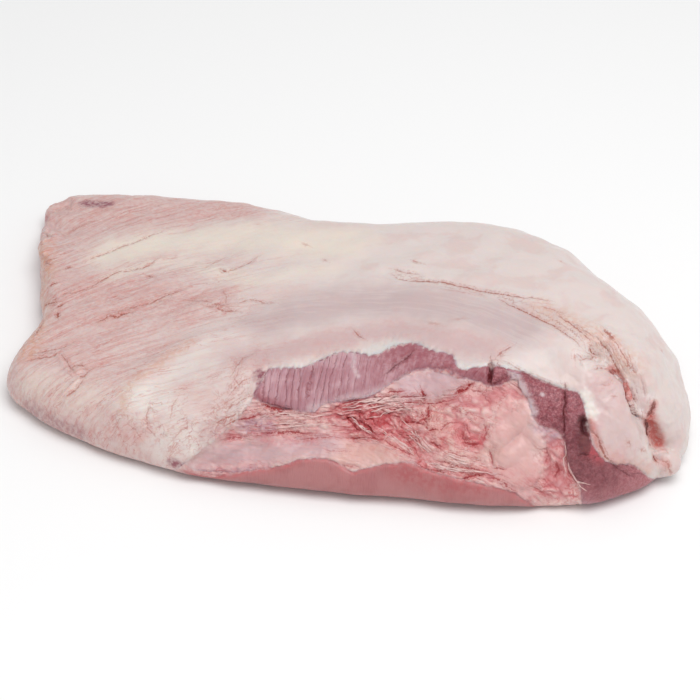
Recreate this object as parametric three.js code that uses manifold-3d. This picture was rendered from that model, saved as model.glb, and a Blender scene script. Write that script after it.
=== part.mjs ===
// A whole raw beef brisket, fat side up, with the trimmed side that shows its layers facing -Y.
// Millimetres, +Z up. X runs along the length, from the thin flat end (-X) to the thick point end (+X).
// The origin is at the middle of the underside, on the surface that the meat lies on.
//
// The outer form is one closed skin. Rays run inwards from the plan outline to a spine in the middle, and the
// top rises over a rounded wall whose width changes round the outline. Three curved sheets then cut it into
// the layers that show at the trimmed side: fat cap, point muscle, seam fat and flat muscle.

import * as THREE from "three";
import { mergeVertices } from "three/addons/utils/BufferGeometryUtils.js";
import Module from "manifold-3d";

// ---------------------------------------------------------------- driving dimensions

const OUTLINE = [
  // near side, from the flat end to the point end
  [-232, -84], [-200, -109], [-150, -130], [-90, -143], [-30, -145], [40, -143], [115, -139], [172, -131],
  // point end
  [209, -111], [236, -85], [248, -60], [249, -30], [242, -4], [222, 30], [190, 63],
  // far side
  [152, 105], [104, 132], [48, 135], [-8, 126], [-60, 138], [-118, 162], [-174, 168],
  // flat end, cut across
  [-228, 165], [-262, 153], [-270, 128], [-254, 72], [-243, 30], [-232, -10], [-238, -60],
];
const RIM_HEIGHT = 12; // the widest level of the rounded lower edge
const FOOT_WIDTH = 16; // how far the lower edge curls under before it lies flat
const SPINE = { y: -2, stretch: 0.75, flatEnd: -165, pointEnd: 150 };

// thickness of the meat at its crown, along the length
const CROWN = [
  [-262, 31], [-200, 37], [-130, 48], [-60, 64], [20, 78], [100, 90], [170, 94], [230, 86], [262, 76],
];
const FAR_SIDE_DROP = 0.3; // share of the crown that is lost towards the far side
const NEAR_SIDE_DROP = 0.06;

// width of the rounded wall, along the near side and along the far side
const NEAR_WALL = [[-262, 14], [-200, 26], [-130, 46], [-60, 66], [20, 82], [100, 88], [180, 84], [262, 60]];
const FAR_WALL = [[-262, 14], [-200, 24], [0, 38], [100, 52], [262, 60]];
// roundness of the near wall along the length: 2 is a quarter circle, less is closer to a straight slope
const NEAR_ROUNDNESS = [[-262, 2], [-110, 2], [-50, 1.6], [160, 1.6], [215, 2], [262, 2]];

// where the layer boundaries run over the trimmed near side, as [x, y, z]; below the floor a layer has ended
const CAP_EDGE = [
  [-262, -60, 2], [-200, -109, 2], [-104, -142, 2], [-92, -143, 14], [-79, -138, 26], [-60, -125, 41],
  [-49, -113, 52], [-45, -97, 59], [-39, -88, 64], [-18, -86, 66], [-8, -79, 69], [9, -71, 74],
  [27, -71, 76], [45, -65, 80], [62, -67, 82], [83, -75, 82], [93, -82, 80], [101, -81, 82],
  [119, -78, 84], [132, -83, 82], [146, -89, 79], [160, -91, 77], [172, -91, 76], [177, -97, 70],
  [183, -107, 57], [187, -113, 48], [196, -113, 37], [214, -104, 29], [226, -99, 14], [236, -86, 2],
  [244, -74, -8], [262, -60, -10],
];
const POINT_EDGE = [
  [-262, -60, 72], [-58, -109, 70], [-47, -107, 55], [-42, -111, 53], [-34, -117, 52], [-5, -116, 51],
  [1, -112, 55], [16, -109, 58], [27, -107, 60], [38, -104, 64], [47, -98, 69], [53, -93, 72],
  [62, -89, 75], [84, -87, 77], [91, -87, 76], [106, -92, 75], [114, -93, 74], [122, -91, 76],
  [128, -88, 78], [131, -89, 78], [134, -93, 75], [141, -97, 70], [145, -101, 63], [150, -105, 59],
  [160, -109, 57], [166, -114, 53], [169, -120, 44], [173, -124, 34], [180, -126, 24], [186, -129, -6],
  [262, -60, -10],
];
const FLAT_EDGE = [
  [-262, -60, 12], [-94, -143, 12], [-75, -144, 11], [-57, -142, 14], [-35, -142, 19], [-19, -140, 25],
  [-9, -137, 29], [1, -135, 30], [14, -136, 29], [26, -138, 24], [35, -136, 26], [45, -135, 29],
  [58, -132, 32], [66, -133, 33], [79, -136, 29], [103, -135, 25], [120, -135, 23], [134, -135, 19],
  [144, -135, 13], [152, -133, 4], [158, -132, -6], [262, -60, -10],
];
const CAP_THICKNESS = 15; // fat over the lean, away from the trimmed wall
const CAP_WRAP = 14; // thickness of the fat that wraps down over the flat end's near side
const FLAT_END_LEAN = 20; // lean under the fat at the cut flat end
const FAR_LEAN = 13; // lean that shows under the fat along the far side
const FLAT_THICKNESS = 34;
const SEAM_THICKNESS = 9; // seam fat between the two muscles, deep inside
const HIDDEN_DEPTH = 4; // how far a layer's sheet runs above the next one where the layer has ended
const POINT_REACH = 70; // how far the point muscle runs past the middle towards the far side
const LAYER_GAP = 0.3; // kept between neighbouring layers

// relief that shows from a step away; each path runs over the skin
const RIDGE = {
  rise: 3.2,
  width: 13,
  path: [
    [-136, -117, 41], [-132, -103, 48], [-126, -87, 51], [-116, -68, 53],
    [-96, -57, 58], [-68, -51, 65], [-33, -48, 70],
  ],
};
// where one sheet of the fat cap ends on top of another
const OVERLAP = {
  rise: 1.6,
  width: 18,
  depth: 3,
  crease: 6,
  path: [
    [25, 18, 77], [35, 11, 78], [65, 0, 85], [94, -7, 87],
    [117, -22, 90], [143, -34, 91], [165, -53, 94], [182, -61, 87],
  ],
};
// the deep fold where the fat cap rolls over the point end
const FOLD = {
  rise: 4,
  width: 24,
  depth: 12,
  crease: 8,
  path: [
    [183, -66, 86], [193, -70, 81], [202, -71, 76], [211, -79, 64],
    [216, -86, 55], [224, -85, 42], [231, -82, 28],
  ],
};
const FLAT_END_TUCK = { depth: 6, crease: 8, path: [[-268, 124, 18], [-255, 108, 24], [-240, 98, 31]] };
const SEAM_RECESS = 5.5; // how far the torn seam fat sinks in between the muscles
const SEAM_UNEVENNESS = 3.2;
const POINT_BELLY = 2.6; // how far each cut muscle bellies out
const FLAT_BELLY = 1.6;
const LUMPINESS = 1.5;

// how finely the skin and the sheets are meshed
const NEAR_STEP = 8.5;
const END_STEP = 9.5;
const WALL_RINGS = 9;
const TOP_RINGS = 7;
const FOOT_RINGS = 3;
const SHEET_X_STEPS = [[-280, 32], [-120, 11], [150, 8], [206, 12], [264, 0]];
const SHEET_Y_STEPS = [[-170, 50], [-120, 11], [-54, 27], [190, 0]];
const SHEET_TOP = 160;

// ---------------------------------------------------------------- curves along the length

const clamp = (v, low, high) => Math.min(high, Math.max(low, v));
const mix = (a, b, share) => a + (b - a) * share;

function smooth(v, from, to) {
  const share = clamp((v - from) / (to - from), 0, 1);
  return share * share * (3 - 2 * share);
}

// A smooth curve through [x, value] knots.
function along(knots, x) {
  const last = knots.length - 1;
  const v = clamp(x, knots[0][0], knots[last][0]);
  let i = 0;
  while (i < last - 1 && v > knots[i + 1][0]) i++;
  const slope = (a, b) => (knots[b][1] - knots[a][1]) / (knots[b][0] - knots[a][0]);
  const span = knots[i + 1][0] - knots[i][0];
  const tangent = (k) => {
    if (k === 0 || k === last) return 0;
    const before = slope(k - 1, k);
    const after = slope(k, k + 1);
    return before * after <= 0 ? 0 : (2 * before * after) / (before + after);
  };
  const s = (v - knots[i][0]) / span;
  const rise = knots[i + 1][1] - knots[i][1];
  const m0 = tangent(i) * span;
  const m1 = tangent(i + 1) * span;
  return knots[i][1] + s * (m0 + s * (3 * rise - 2 * m0 - m1 + s * (m0 + m1 - 2 * rise)));
}

const outlineCurve = new THREE.CatmullRomCurve3(
  OUTLINE.map(([x, y]) => new THREE.Vector3(x, y, 0)),
  true,
  "catmullrom",
  0.5,
);
const OUTLINE_SAMPLES = 4000;
const outlinePoints = outlineCurve.getPoints(OUTLINE_SAMPLES);

// The near (-1) or far (1) point of the outline at one place along the length.
function edge(x, side) {
  const onSide = (p) => side * (p.y - SPINE.y) >= 0;
  const closer = (a, b) => (Math.abs(b.x - x) < Math.abs(a.x - x) ? b : a);
  return outlinePoints.filter(onSide).reduce(closer);
}

// The outline's far edge as a height field would ask for it, looked up once for each millimetre.
const farEdges = new Map();
function farEdge(x) {
  const key = Math.round(x);
  if (!farEdges.has(key)) farEdges.set(key, edge(key, 1).y);
  return farEdges.get(key);
}

// ---------------------------------------------------------------- outer skin

function heightAt(x, y) {
  const towardsFar = clamp((y + 20) / 170, 0, 1.2);
  const towardsNear = clamp((-20 - y) / 140, 0, 1);
  return along(CROWN, x) * (1 - FAR_SIDE_DROP * towardsFar ** 1.6 - NEAR_SIDE_DROP * towardsNear ** 2);
}

function wallWidth(p) {
  return mix(along(NEAR_WALL, p.x), along(FAR_WALL, p.x), smooth(p.y, -40, 40));
}

const spineAt = (x) => new THREE.Vector3(clamp(x * SPINE.stretch, SPINE.flatEnd, SPINE.pointEnd), SPINE.y, 0);

// Rays as [outline point, spine point]. They meet in pairs on the spine, with a fan round each of its ends.
function rays() {
  const flatX = SPINE.flatEnd / SPINE.stretch;
  const pointX = SPINE.pointEnd / SPINE.stretch;
  const count = Math.round((pointX - flatX) / NEAR_STEP);
  const stations = Array.from({ length: count + 1 }, (_, i) => mix(flatX, pointX, i / count));
  const row = (side) => stations.map((x) => [edge(x, side), spineAt(x)]);
  const near = row(-1);
  const far = row(1).reverse();
  const round = (from, to) => fan(from[0], to[0]).map((p) => [p, from[1]]);
  return [...near, ...round(near.at(-1), far[0]), ...far, ...round(far.at(-1), near[0])];
}

// Evenly spaced outline points strictly between two others, counter-clockwise.
function fan(from, to) {
  const start = outlinePoints.indexOf(from);
  const end = outlinePoints.indexOf(to);
  const span = (end - start + OUTLINE_SAMPLES) % OUTLINE_SAMPLES;
  const arc = Array.from({ length: span + 1 }, (_, i) => outlinePoints[(start + i) % OUTLINE_SAMPLES]);
  const lengths = [0];
  for (let i = 1; i < arc.length; i++) lengths.push(lengths[i - 1] + arc[i].distanceTo(arc[i - 1]));
  const count = Math.round(lengths.at(-1) / END_STEP);
  const at = (share) => arc[lengths.findIndex((v) => v >= share * lengths.at(-1))];
  return Array.from({ length: count - 1 }, (_, i) => at((i + 1) / count));
}

// One ray as a line of skin points, from the flat underside round the rim and up to the spine.
function rayProfile([start, centre]) {
  const reach = start.distanceTo(centre);
  const wall = Math.min(wallWidth(start), reach);
  const inwards = (d) => start.clone().lerp(centre, d / reach);
  const points = [];
  for (let i = FOOT_RINGS; i > 0; i--) {
    const angle = ((i / FOOT_RINGS) * Math.PI) / 2;
    const p = inwards(FOOT_WIDTH * (1 - Math.cos(angle)));
    points.push(p.setZ(RIM_HEIGHT * (1 - Math.sin(angle))));
  }
  const power = 2 / mix(along(NEAR_ROUNDNESS, start.x), 2, smooth(start.y, -60, 0));
  for (let i = 0; i <= WALL_RINGS; i++) {
    const angle = ((i / WALL_RINGS) * Math.PI) / 2;
    const p = inwards(i < WALL_RINGS ? wall * (1 - Math.cos(angle) ** power) : wall);
    points.push(p.setZ(mix(RIM_HEIGHT, heightAt(p.x, p.y), Math.sin(angle) ** power)));
  }
  for (let i = 1; i <= TOP_RINGS; i++) {
    const p = inwards(mix(wall, reach, i / TOP_RINGS));
    points.push(p.setZ(heightAt(p.x, p.y)));
  }
  return points;
}

// The skin before any relief: rays side by side, closed underneath by rays of the flat foot.
function bareSkin() {
  const lines = rays().map((ray) => [ray[1], ...rayProfile(ray)]);
  const rows = lines[0].length;
  const positions = lines.flat().flatMap((p) => [p.x, p.y, p.z]);
  const index = [];
  lines.forEach((_, i) => {
    const next = (i + 1) % lines.length;
    for (let j = 0; j < rows - 1; j++) {
      const [a, b] = [i * rows + j, next * rows + j];
      index.push(a, b, b + 1, a, b + 1, a + 1);
    }
  });
  const geometry = new THREE.BufferGeometry();
  geometry.setAttribute("position", new THREE.Float32BufferAttribute(positions, 3));
  geometry.setIndex(index);
  return withoutSlivers(mergeVertices(geometry, 1e-3));
}

// Drops the triangles that merging has turned into lines.
function withoutSlivers(geometry) {
  const all = geometry.index.array;
  const kept = [];
  for (let i = 0; i < all.length; i += 3) {
    const [a, b, c] = all.slice(i, i + 3);
    if (a !== b && b !== c && c !== a) kept.push(a, b, c);
  }
  geometry.setIndex(kept);
  return geometry;
}

// ---------------------------------------------------------------- sheets between the layers

// A boundary's height at one place along the length, and how far a point lies inwards of it.
const heightOf = (boundary, x) => along(boundary.map((knot) => [knot[0], knot[2]]), x);
const beyond = (boundary, x, y) => y - along(boundary.map((knot) => [knot[0], knot[1]]), x);

// Underside of the fat cap. It wraps down over the flat end's near side, the far side and the point end.
function capSheet(x, y) {
  const edgeHeight = heightOf(CAP_EDGE, x);
  const lean = mix(FLAT_END_LEAN, heightAt(x, y) - CAP_THICKNESS, smooth(x, -220, -60));
  const wrap = mix(CAP_WRAP, 0, smooth(x, -110, -80));
  const body = mix(edgeHeight, lean, smooth(beyond(CAP_EDGE, x, y), wrap, wrap + 40));
  const far = mix(body, FAR_LEAN, smooth(y, farEdge(x) - 60, farEdge(x) - 10));
  return mix(far, edgeHeight, smooth(x, 196, 232));
}

// Underside of the point muscle, which thins out towards the far side.
function pointSheet(x, y) {
  const edgeHeight = heightOf(POINT_EDGE, x);
  const deep = Math.min(edgeHeight, flatSheet(x, y) + SEAM_THICKNESS);
  const body = mix(edgeHeight, deep, smooth(beyond(POINT_EDGE, x, y), 8, 70));
  const pastReach = smooth(y, POINT_REACH - 40, POINT_REACH) * smooth(x, 190, 150);
  return mix(body, capSheet(x, y) + HIDDEN_DEPTH, pastReach);
}

// Top of the flat muscle, under the seam fat and, past the point muscle, right under the fat cap.
function flatSheet(x, y) {
  const edgeHeight = heightOf(FLAT_EDGE, x);
  const deep = mix(FLAT_THICKNESS, edgeHeight, smooth(x, 120, 160));
  const body = mix(edgeHeight, deep, smooth(beyond(FLAT_EDGE, x, y), 15, 70));
  const pastPoint = smooth(y, POINT_REACH - 40, POINT_REACH) * smooth(x, 160, 120);
  return mix(body, capSheet(x, y) + HIDDEN_DEPTH, Math.max(pastPoint, smooth(x, -80, -100)));
}

// Places along one axis whose step changes at the given breaks.
function gridLines(breaks) {
  const lines = [];
  for (let i = 0; i < breaks.length - 1; i++) {
    const [from, step] = breaks[i];
    const to = breaks[i + 1][0];
    const count = Math.round((to - from) / step) || 1;
    for (let k = 0; k < count; k++) lines.push(mix(from, to, k / count));
  }
  return [...lines, breaks.at(-1)[0]];
}

// Everything above a sheet, moved up or down by half a gap measured square to the sheet.
function aboveSheet(sheet, shift) {
  const xs = gridLines(SHEET_X_STEPS);
  const ys = gridLines(SHEET_Y_STEPS);
  const probe = 0.5;
  const low = (x, y) => {
    const slopeX = (sheet(x + probe, y) - sheet(x - probe, y)) / (2 * probe);
    const slopeY = (sheet(x, y + probe) - sheet(x, y - probe)) / (2 * probe);
    return sheet(x, y) + shift * Math.hypot(1, slopeX, slopeY);
  };
  const positions = [];
  for (const level of [low, () => SHEET_TOP]) {
    for (const x of xs) for (const y of ys) positions.push(x, y, level(x, y));
  }
  const at = (i, j, level) => level * xs.length * ys.length + i * ys.length + j;
  const index = [];
  const quad = (a, b, c, d) => index.push(a, b, c, a, c, d);
  const [lastX, lastY] = [xs.length - 1, ys.length - 1];
  for (let i = 0; i < lastX; i++) {
    for (let j = 0; j < lastY; j++) {
      quad(at(i, j, 0), at(i, j + 1, 0), at(i + 1, j + 1, 0), at(i + 1, j, 0));
      quad(at(i, j, 1), at(i + 1, j, 1), at(i + 1, j + 1, 1), at(i, j + 1, 1));
    }
    quad(at(i, 0, 0), at(i + 1, 0, 0), at(i + 1, 0, 1), at(i, 0, 1));
    quad(at(i + 1, lastY, 0), at(i, lastY, 0), at(i, lastY, 1), at(i + 1, lastY, 1));
  }
  for (let j = 0; j < lastY; j++) {
    quad(at(0, j + 1, 0), at(0, j, 0), at(0, j, 1), at(0, j + 1, 1));
    quad(at(lastX, j, 0), at(lastX, j + 1, 0), at(lastX, j + 1, 1), at(lastX, j, 1));
  }
  const geometry = new THREE.BufferGeometry();
  geometry.setAttribute("position", new THREE.Float32BufferAttribute(positions, 3));
  geometry.setIndex(index);
  return geometry;
}

// ---------------------------------------------------------------- relief

// Distance from a point to a path.
function distanceToPath(p, path) {
  const line = new THREE.Line3();
  const nearest = new THREE.Vector3();
  let best = Infinity;
  for (let i = 0; i < path.length - 1; i++) {
    line.set(new THREE.Vector3(...path[i]), new THREE.Vector3(...path[i + 1]));
    line.closestPointToPoint(p, true, nearest);
    best = Math.min(best, nearest.distanceTo(p));
  }
  return best;
}

const bump = (distance, width) => Math.exp(-((distance / width) ** 2));

// Soft unevenness of the flesh, the same every time.
function lumps(p) {
  const wave = (a, b, c, phase) => Math.sin(a * p.x + b * p.y + c * p.z + phase);
  return (
    0.45 * wave(0.061, 0.043, 0.05, 0.4) +
    0.35 * wave(-0.093, 0.117, 0.08, 1.9) +
    0.3 * wave(0.17, 0.061, -0.21, 3.1) * wave(0.05, -0.19, 0.13, 0.7)
  );
}

// The exposed layers of the near wall: the muscles belly out and the torn seam fat between them sinks in.
function layerRelief(p) {
  const onWall = smooth(p.y, -20, -60) * smooth(p.x, -115, -70);
  if (onWall === 0) return 0;
  const cap = capSheet(p.x, p.y);
  const point = Math.min(pointSheet(p.x, p.y), cap);
  const flat = Math.min(flatSheet(p.x, p.y), point);
  const belly = (low, high) => {
    const share = (p.z - low) / Math.max(high - low, 1);
    return share > 0 && share < 1 ? 4 * share * (1 - share) : 0;
  };
  const ragged = lumps({ x: p.x * 2.4, y: p.y * 2, z: p.z * 2.4 });
  const torn = belly(flat, point) * (SEAM_UNEVENNESS * ragged - SEAM_RECESS) * smooth(p.x, 190, 150);
  return onWall * (POINT_BELLY * belly(point, cap) + torn + FLAT_BELLY * belly(0, flat));
}

function pathRelief(p) {
  const crease = (form) => form.depth * bump(distanceToPath(p, form.path), form.crease);
  const swelling = (form) => form.rise * bump(distanceToPath(p, form.path), form.width);
  const raised = swelling(RIDGE) + swelling(OVERLAP) + swelling(FOLD);
  return raised - crease(OVERLAP) - crease(FOLD) - crease(FLAT_END_TUCK);
}

// Moves the skin out and in along its own normals. The flat underside stays flat.
function addRelief(geometry) {
  geometry.computeVertexNormals();
  const position = geometry.attributes.position;
  const normal = geometry.attributes.normal;
  for (let i = 0; i < position.count; i++) {
    const p = new THREE.Vector3().fromBufferAttribute(position, i);
    const n = new THREE.Vector3().fromBufferAttribute(normal, i);
    const free = smooth(p.z, 0.5, RIM_HEIGHT);
    p.addScaledVector(n, free * (layerRelief(p) + pathRelief(p) + LUMPINESS * lumps(p)));
    position.setXYZ(i, p.x, p.y, Math.max(p.z, 0));
  }
  geometry.deleteAttribute("normal");
  return geometry;
}

// ---------------------------------------------------------------- solids

const wasm = await Module();
wasm.setup();

function toSolid(geometry) {
  return new wasm.Manifold(
    new wasm.Mesh({
      numProp: 3,
      vertProperties: new Float32Array(geometry.attributes.position.array),
      triVerts: new Uint32Array(geometry.index.array),
    }),
  );
}

function toGeometry(solid) {
  const { numProp, numVert, vertProperties, triVerts } = solid.getMesh();
  const positions = new Float32Array(numVert * 3);
  for (let i = 0; i < numVert; i++) {
    positions.set(vertProperties.subarray(i * numProp, i * numProp + 3), i * 3);
  }
  const geometry = new THREE.BufferGeometry();
  geometry.setAttribute("position", new THREE.BufferAttribute(positions, 3));
  geometry.setIndex(new THREE.BufferAttribute(triVerts, 1));
  geometry.computeVertexNormals();
  return geometry;
}

// The largest piece of a cut solid, without loose scraps.
function largest(solid) {
  return solid.decompose().reduce((a, b) => (b.volume() > a.volume() ? b : a));
}

const body = toSolid(addRelief(bareSkin()));
const above = (sheet, side) => toSolid(aboveSheet(sheet, (side * LAYER_GAP) / 2));
const underCap = body.subtract(above(capSheet, -1));
const underPoint = underCap.subtract(above(pointSheet, -1));
const layers = {
  fat_cap: body.intersect(above(capSheet, 1)),
  point_muscle: underCap.intersect(above(pointSheet, 1)),
  seam_fat: underPoint.intersect(above(flatSheet, 1)),
  flat_muscle: underPoint.subtract(above(flatSheet, -1)),
};

// ---------------------------------------------------------------- the brisket

const FLESH = {
  fat_cap: { color: 0xdcc5be, roughness: 0.45 },
  point_muscle: { color: 0xa85e68, roughness: 0.4 },
  seam_fat: { color: 0xd29c98, roughness: 0.42 },
  flat_muscle: { color: 0xa96c6e, roughness: 0.42 },
};

const brisket = new THREE.Group();
for (const [name, solid] of Object.entries(layers)) {
  const material = new THREE.MeshStandardMaterial({ ...FLESH[name], metalness: 0 });
  const mesh = new THREE.Mesh(toGeometry(largest(solid)), material);
  mesh.name = name;
  brisket.add(mesh);
}

// Puts the middle of the underside on the origin.
const middle = new THREE.Box3().setFromObject(brisket).getCenter(new THREE.Vector3());
for (const layer of brisket.children) layer.position.set(-middle.x, -middle.y, 0);

export default brisket;
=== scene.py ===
"""Looks of a whole raw beef brisket: fat cap, cut point muscle, torn seam fat and flat muscle.

One closed skin is made from the brisket's named sizes, given its relief as a single surface, and then cut by
three curved sheets into the layers that show along the trimmed side. Lengths are in millimetres until a mesh
is written, and points are in the frame of the plan outline until then too.
"""

import logging
import math
from dataclasses import dataclass, field
from enum import Enum
from typing import Callable, Optional, Sequence

import bmesh
import bpy
import numpy as np
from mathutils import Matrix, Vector
from mathutils.bvhtree import BVHTree


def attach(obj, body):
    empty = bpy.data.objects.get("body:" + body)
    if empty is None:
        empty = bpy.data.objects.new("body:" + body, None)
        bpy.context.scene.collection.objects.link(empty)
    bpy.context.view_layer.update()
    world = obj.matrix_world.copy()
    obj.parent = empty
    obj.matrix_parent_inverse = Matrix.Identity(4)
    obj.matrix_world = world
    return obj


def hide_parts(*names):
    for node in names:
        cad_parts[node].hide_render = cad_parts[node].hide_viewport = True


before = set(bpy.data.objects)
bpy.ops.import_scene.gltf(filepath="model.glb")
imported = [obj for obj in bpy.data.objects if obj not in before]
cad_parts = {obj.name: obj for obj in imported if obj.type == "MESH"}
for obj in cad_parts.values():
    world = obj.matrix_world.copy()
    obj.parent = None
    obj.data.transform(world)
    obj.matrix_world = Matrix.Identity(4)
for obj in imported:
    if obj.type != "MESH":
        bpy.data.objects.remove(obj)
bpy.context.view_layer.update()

LOG = logging.getLogger("brisket")
MM = 0.001
WELD_REACH = 0.01
SHARP_FROM = 65.0
SHOWN_FROM = 0.001
STRAND_RELIEF = 1.2
STRAND_BLOOD = 0.25
STROKE_REACH = 7.0
Array = np.ndarray
Object = bpy.types.Object
Mesh = bpy.types.Mesh
Path = Sequence[tuple[float, float]]


class Layer(Enum):
    """The layers that show at the trimmed side. A value is the name of the node that the layer stands for."""

    FAT_CAP = "fat_cap"
    POINT = "point_muscle"
    SEAM = "seam_fat"
    FLAT = "flat_muscle"


# ------------------------------ numbers and noise


def mix(a: Array, b: Array, share: Array) -> Array:
    """Goes from a to b as share goes from 0 to 1."""
    return a + (b - a) * share


def smooth(v: Array, start: float, end: float) -> Array:
    """Rises smoothly from 0 at start to 1 at end, or falls where end is the smaller one."""
    share = np.clip((v - start) / (end - start), 0, 1)
    return share * share * (3 - 2 * share)


def bump(distance: Array, width: float) -> Array:
    """A bell that is 1 at no distance and fades over the width."""
    return np.exp(-((distance / width) ** 2))


def lane(across: Array, up: Array) -> Array:
    """Points for a noise that changes in two directions only."""
    return np.column_stack([across, up, across * 0])


class Knots:
    """A smooth curve through (x, value) knots that never overshoots them."""

    def __init__(self, knots: Sequence[Sequence[float]], column: int = 1) -> None:
        """Reads one value column of the knots.

        Args:
            knots: Rows that start with x, in rising order.
            column: Which entry of each row is the value.
        """
        self.x = np.array([row[0] for row in knots], float)
        self.v = np.array([row[column] for row in knots], float)
        slope = np.diff(self.v) / np.diff(self.x)
        same = slope[:-1] * slope[1:] > 0
        total = np.where(same, slope[:-1] + slope[1:], 1.0)
        self.m = np.zeros(len(self.x))
        self.m[1:-1] = np.where(same, 2 * slope[:-1] * slope[1:] / total, 0.0)

    def __call__(self, x: Array) -> Array:
        """The curve's value at each x, held level past its ends."""
        v = np.clip(x, self.x[0], self.x[-1])
        i = np.clip(np.searchsorted(self.x, v, side="left") - 1, 0, len(self.x) - 2)
        span = self.x[i + 1] - self.x[i]
        s = (v - self.x[i]) / span
        rise = self.v[i + 1] - self.v[i]
        m0, m1 = self.m[i] * span, self.m[i + 1] * span
        return self.v[i] + s * (m0 + s * (3 * rise - 2 * m0 - m1 + s * (m0 + m1 - 2 * rise)))


class Noise:
    """Seeded noise over arrays of points, the same every time."""

    PRIMES = tuple(np.uint32(v) for v in (0x8DA6B343, 0xD8163841, 0xCB1AB31F))

    def __init__(self, seed: int) -> None:
        """Args:
            seed: Any whole number; another one gives another pattern.
        """
        self.seed = np.uint32(seed * 7919 + 17)

    def _hash(self, cell: Array) -> Array:
        """A scrambled 32-bit number for each whole-number cell."""
        c = cell.astype(np.int64).astype(np.uint32)
        h = c[:, 0] * self.PRIMES[0] ^ c[:, 1] * self.PRIMES[1] ^ c[:, 2] * self.PRIMES[2] ^ self.seed
        for shift, factor in ((13, 0x5BD1E995), (15, 0x2C1B3C6D), (12, 0x297A2D39)):
            h = (h ^ (h >> np.uint32(shift))) * np.uint32(factor)
        return h ^ (h >> np.uint32(15))

    @staticmethod
    def _spread(h: Array) -> Array:
        """Three numbers from -1 to 1 out of each hash."""
        parts = [(h >> np.uint32(s)) & np.uint32(1023) for s in (0, 10, 20)]
        return np.stack(parts, -1).astype(float) / 511.5 - 1

    def smooth(self, p: Array) -> Array:
        """Gradient noise from about -1 to 1, with features one unit wide."""
        base = np.floor(p)
        f = p - base
        u = f * f * f * (f * (f * 6 - 15) + 10)
        total = np.zeros(len(p))
        for corner in np.ndindex(2, 2, 2):
            c = np.array(corner, float)
            weight = np.prod(np.where(c > 0, u, 1 - u), axis=1)
            total += weight * np.einsum("ij,ij->i", self._spread(self._hash(base + c)), f - c)
        return total * 1.25

    def fractal(self, p: Array, octaves: int, rough: float = 0.5) -> Array:
        """Gradient noise with finer and weaker copies of itself on top."""
        total, weight = np.zeros(len(p)), 1.0
        for i in range(octaves):
            total += weight * self.smooth(p * 2.03**i + 11.3 * i)
            weight *= rough
        return total

    def ridged(self, p: Array, octaves: int, rough: float = 0.5) -> Array:
        """Noise with sharp crests, from 0 in the valleys to about 1 on the crests."""
        total, weight, whole = np.zeros(len(p)), 1.0, 0.0
        for i in range(octaves):
            total += weight * (1 - np.minimum(np.abs(self.smooth(p * 2.07**i + 5.7 * i)) * 1.9, 1))
            whole += weight
            weight *= rough
        return total / whole

    def warp(self, p: Array, amount: float) -> Array:
        """Moves the points about, by up to the amount, so that what is drawn on them curls."""
        shift = [self.smooth(p + 31.7 * (k + 1)) for k in range(3)]
        return p + amount * np.stack(shift, -1)

    def cells(self, p: Array) -> tuple[Array, Array]:
        """Scattered cells, one in each unit cube.

        Args:
            p: Points, one row each.

        Returns:
            The distance to the nearest cell's middle, and how far from the border with the next cell.
        """
        base = np.floor(p)
        first = np.full(len(p), 9.0)
        second = np.full(len(p), 9.0)
        for offset in np.ndindex(3, 3, 3):
            cell = base + np.array(offset, float) - 1
            middle = cell + 0.5 + 0.42 * self._spread(self._hash(cell))
            d = np.linalg.norm(p - middle, axis=1)
            second = np.minimum(second, np.maximum(first, d))
            first = np.minimum(first, d)
        return first, second - first


def path_distance(p: Array, path: Array) -> tuple[Array, Array, Array]:
    """Distance from points to a line through path points.

    Args:
        p: Points, one row each.
        path: The line's points, with the same number of columns.

    Returns:
        The distance, how far along the line its nearest place is, from 0 to 1, and the offset from there.
    """
    best = np.full(len(p), 1e9)
    along = np.zeros(len(p))
    offset = np.zeros_like(p)
    lengths = np.linalg.norm(np.diff(path, axis=0), axis=1)
    start = 0.0
    for a, b, length in zip(path[:-1], path[1:], lengths):
        t = np.clip((p - a) @ (b - a) / max(length**2, 1e-9), 0, 1)
        away = p - (a + t[:, None] * (b - a))
        d = np.linalg.norm(away, axis=1)
        near = d < best
        best = np.where(near, d, best)
        along = np.where(near, (start + t * length) / lengths.sum(), along)
        offset = np.where(near[:, None], away, offset)
        start += length
    return best, along, offset


# ------------------------------ the brisket's form


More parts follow.
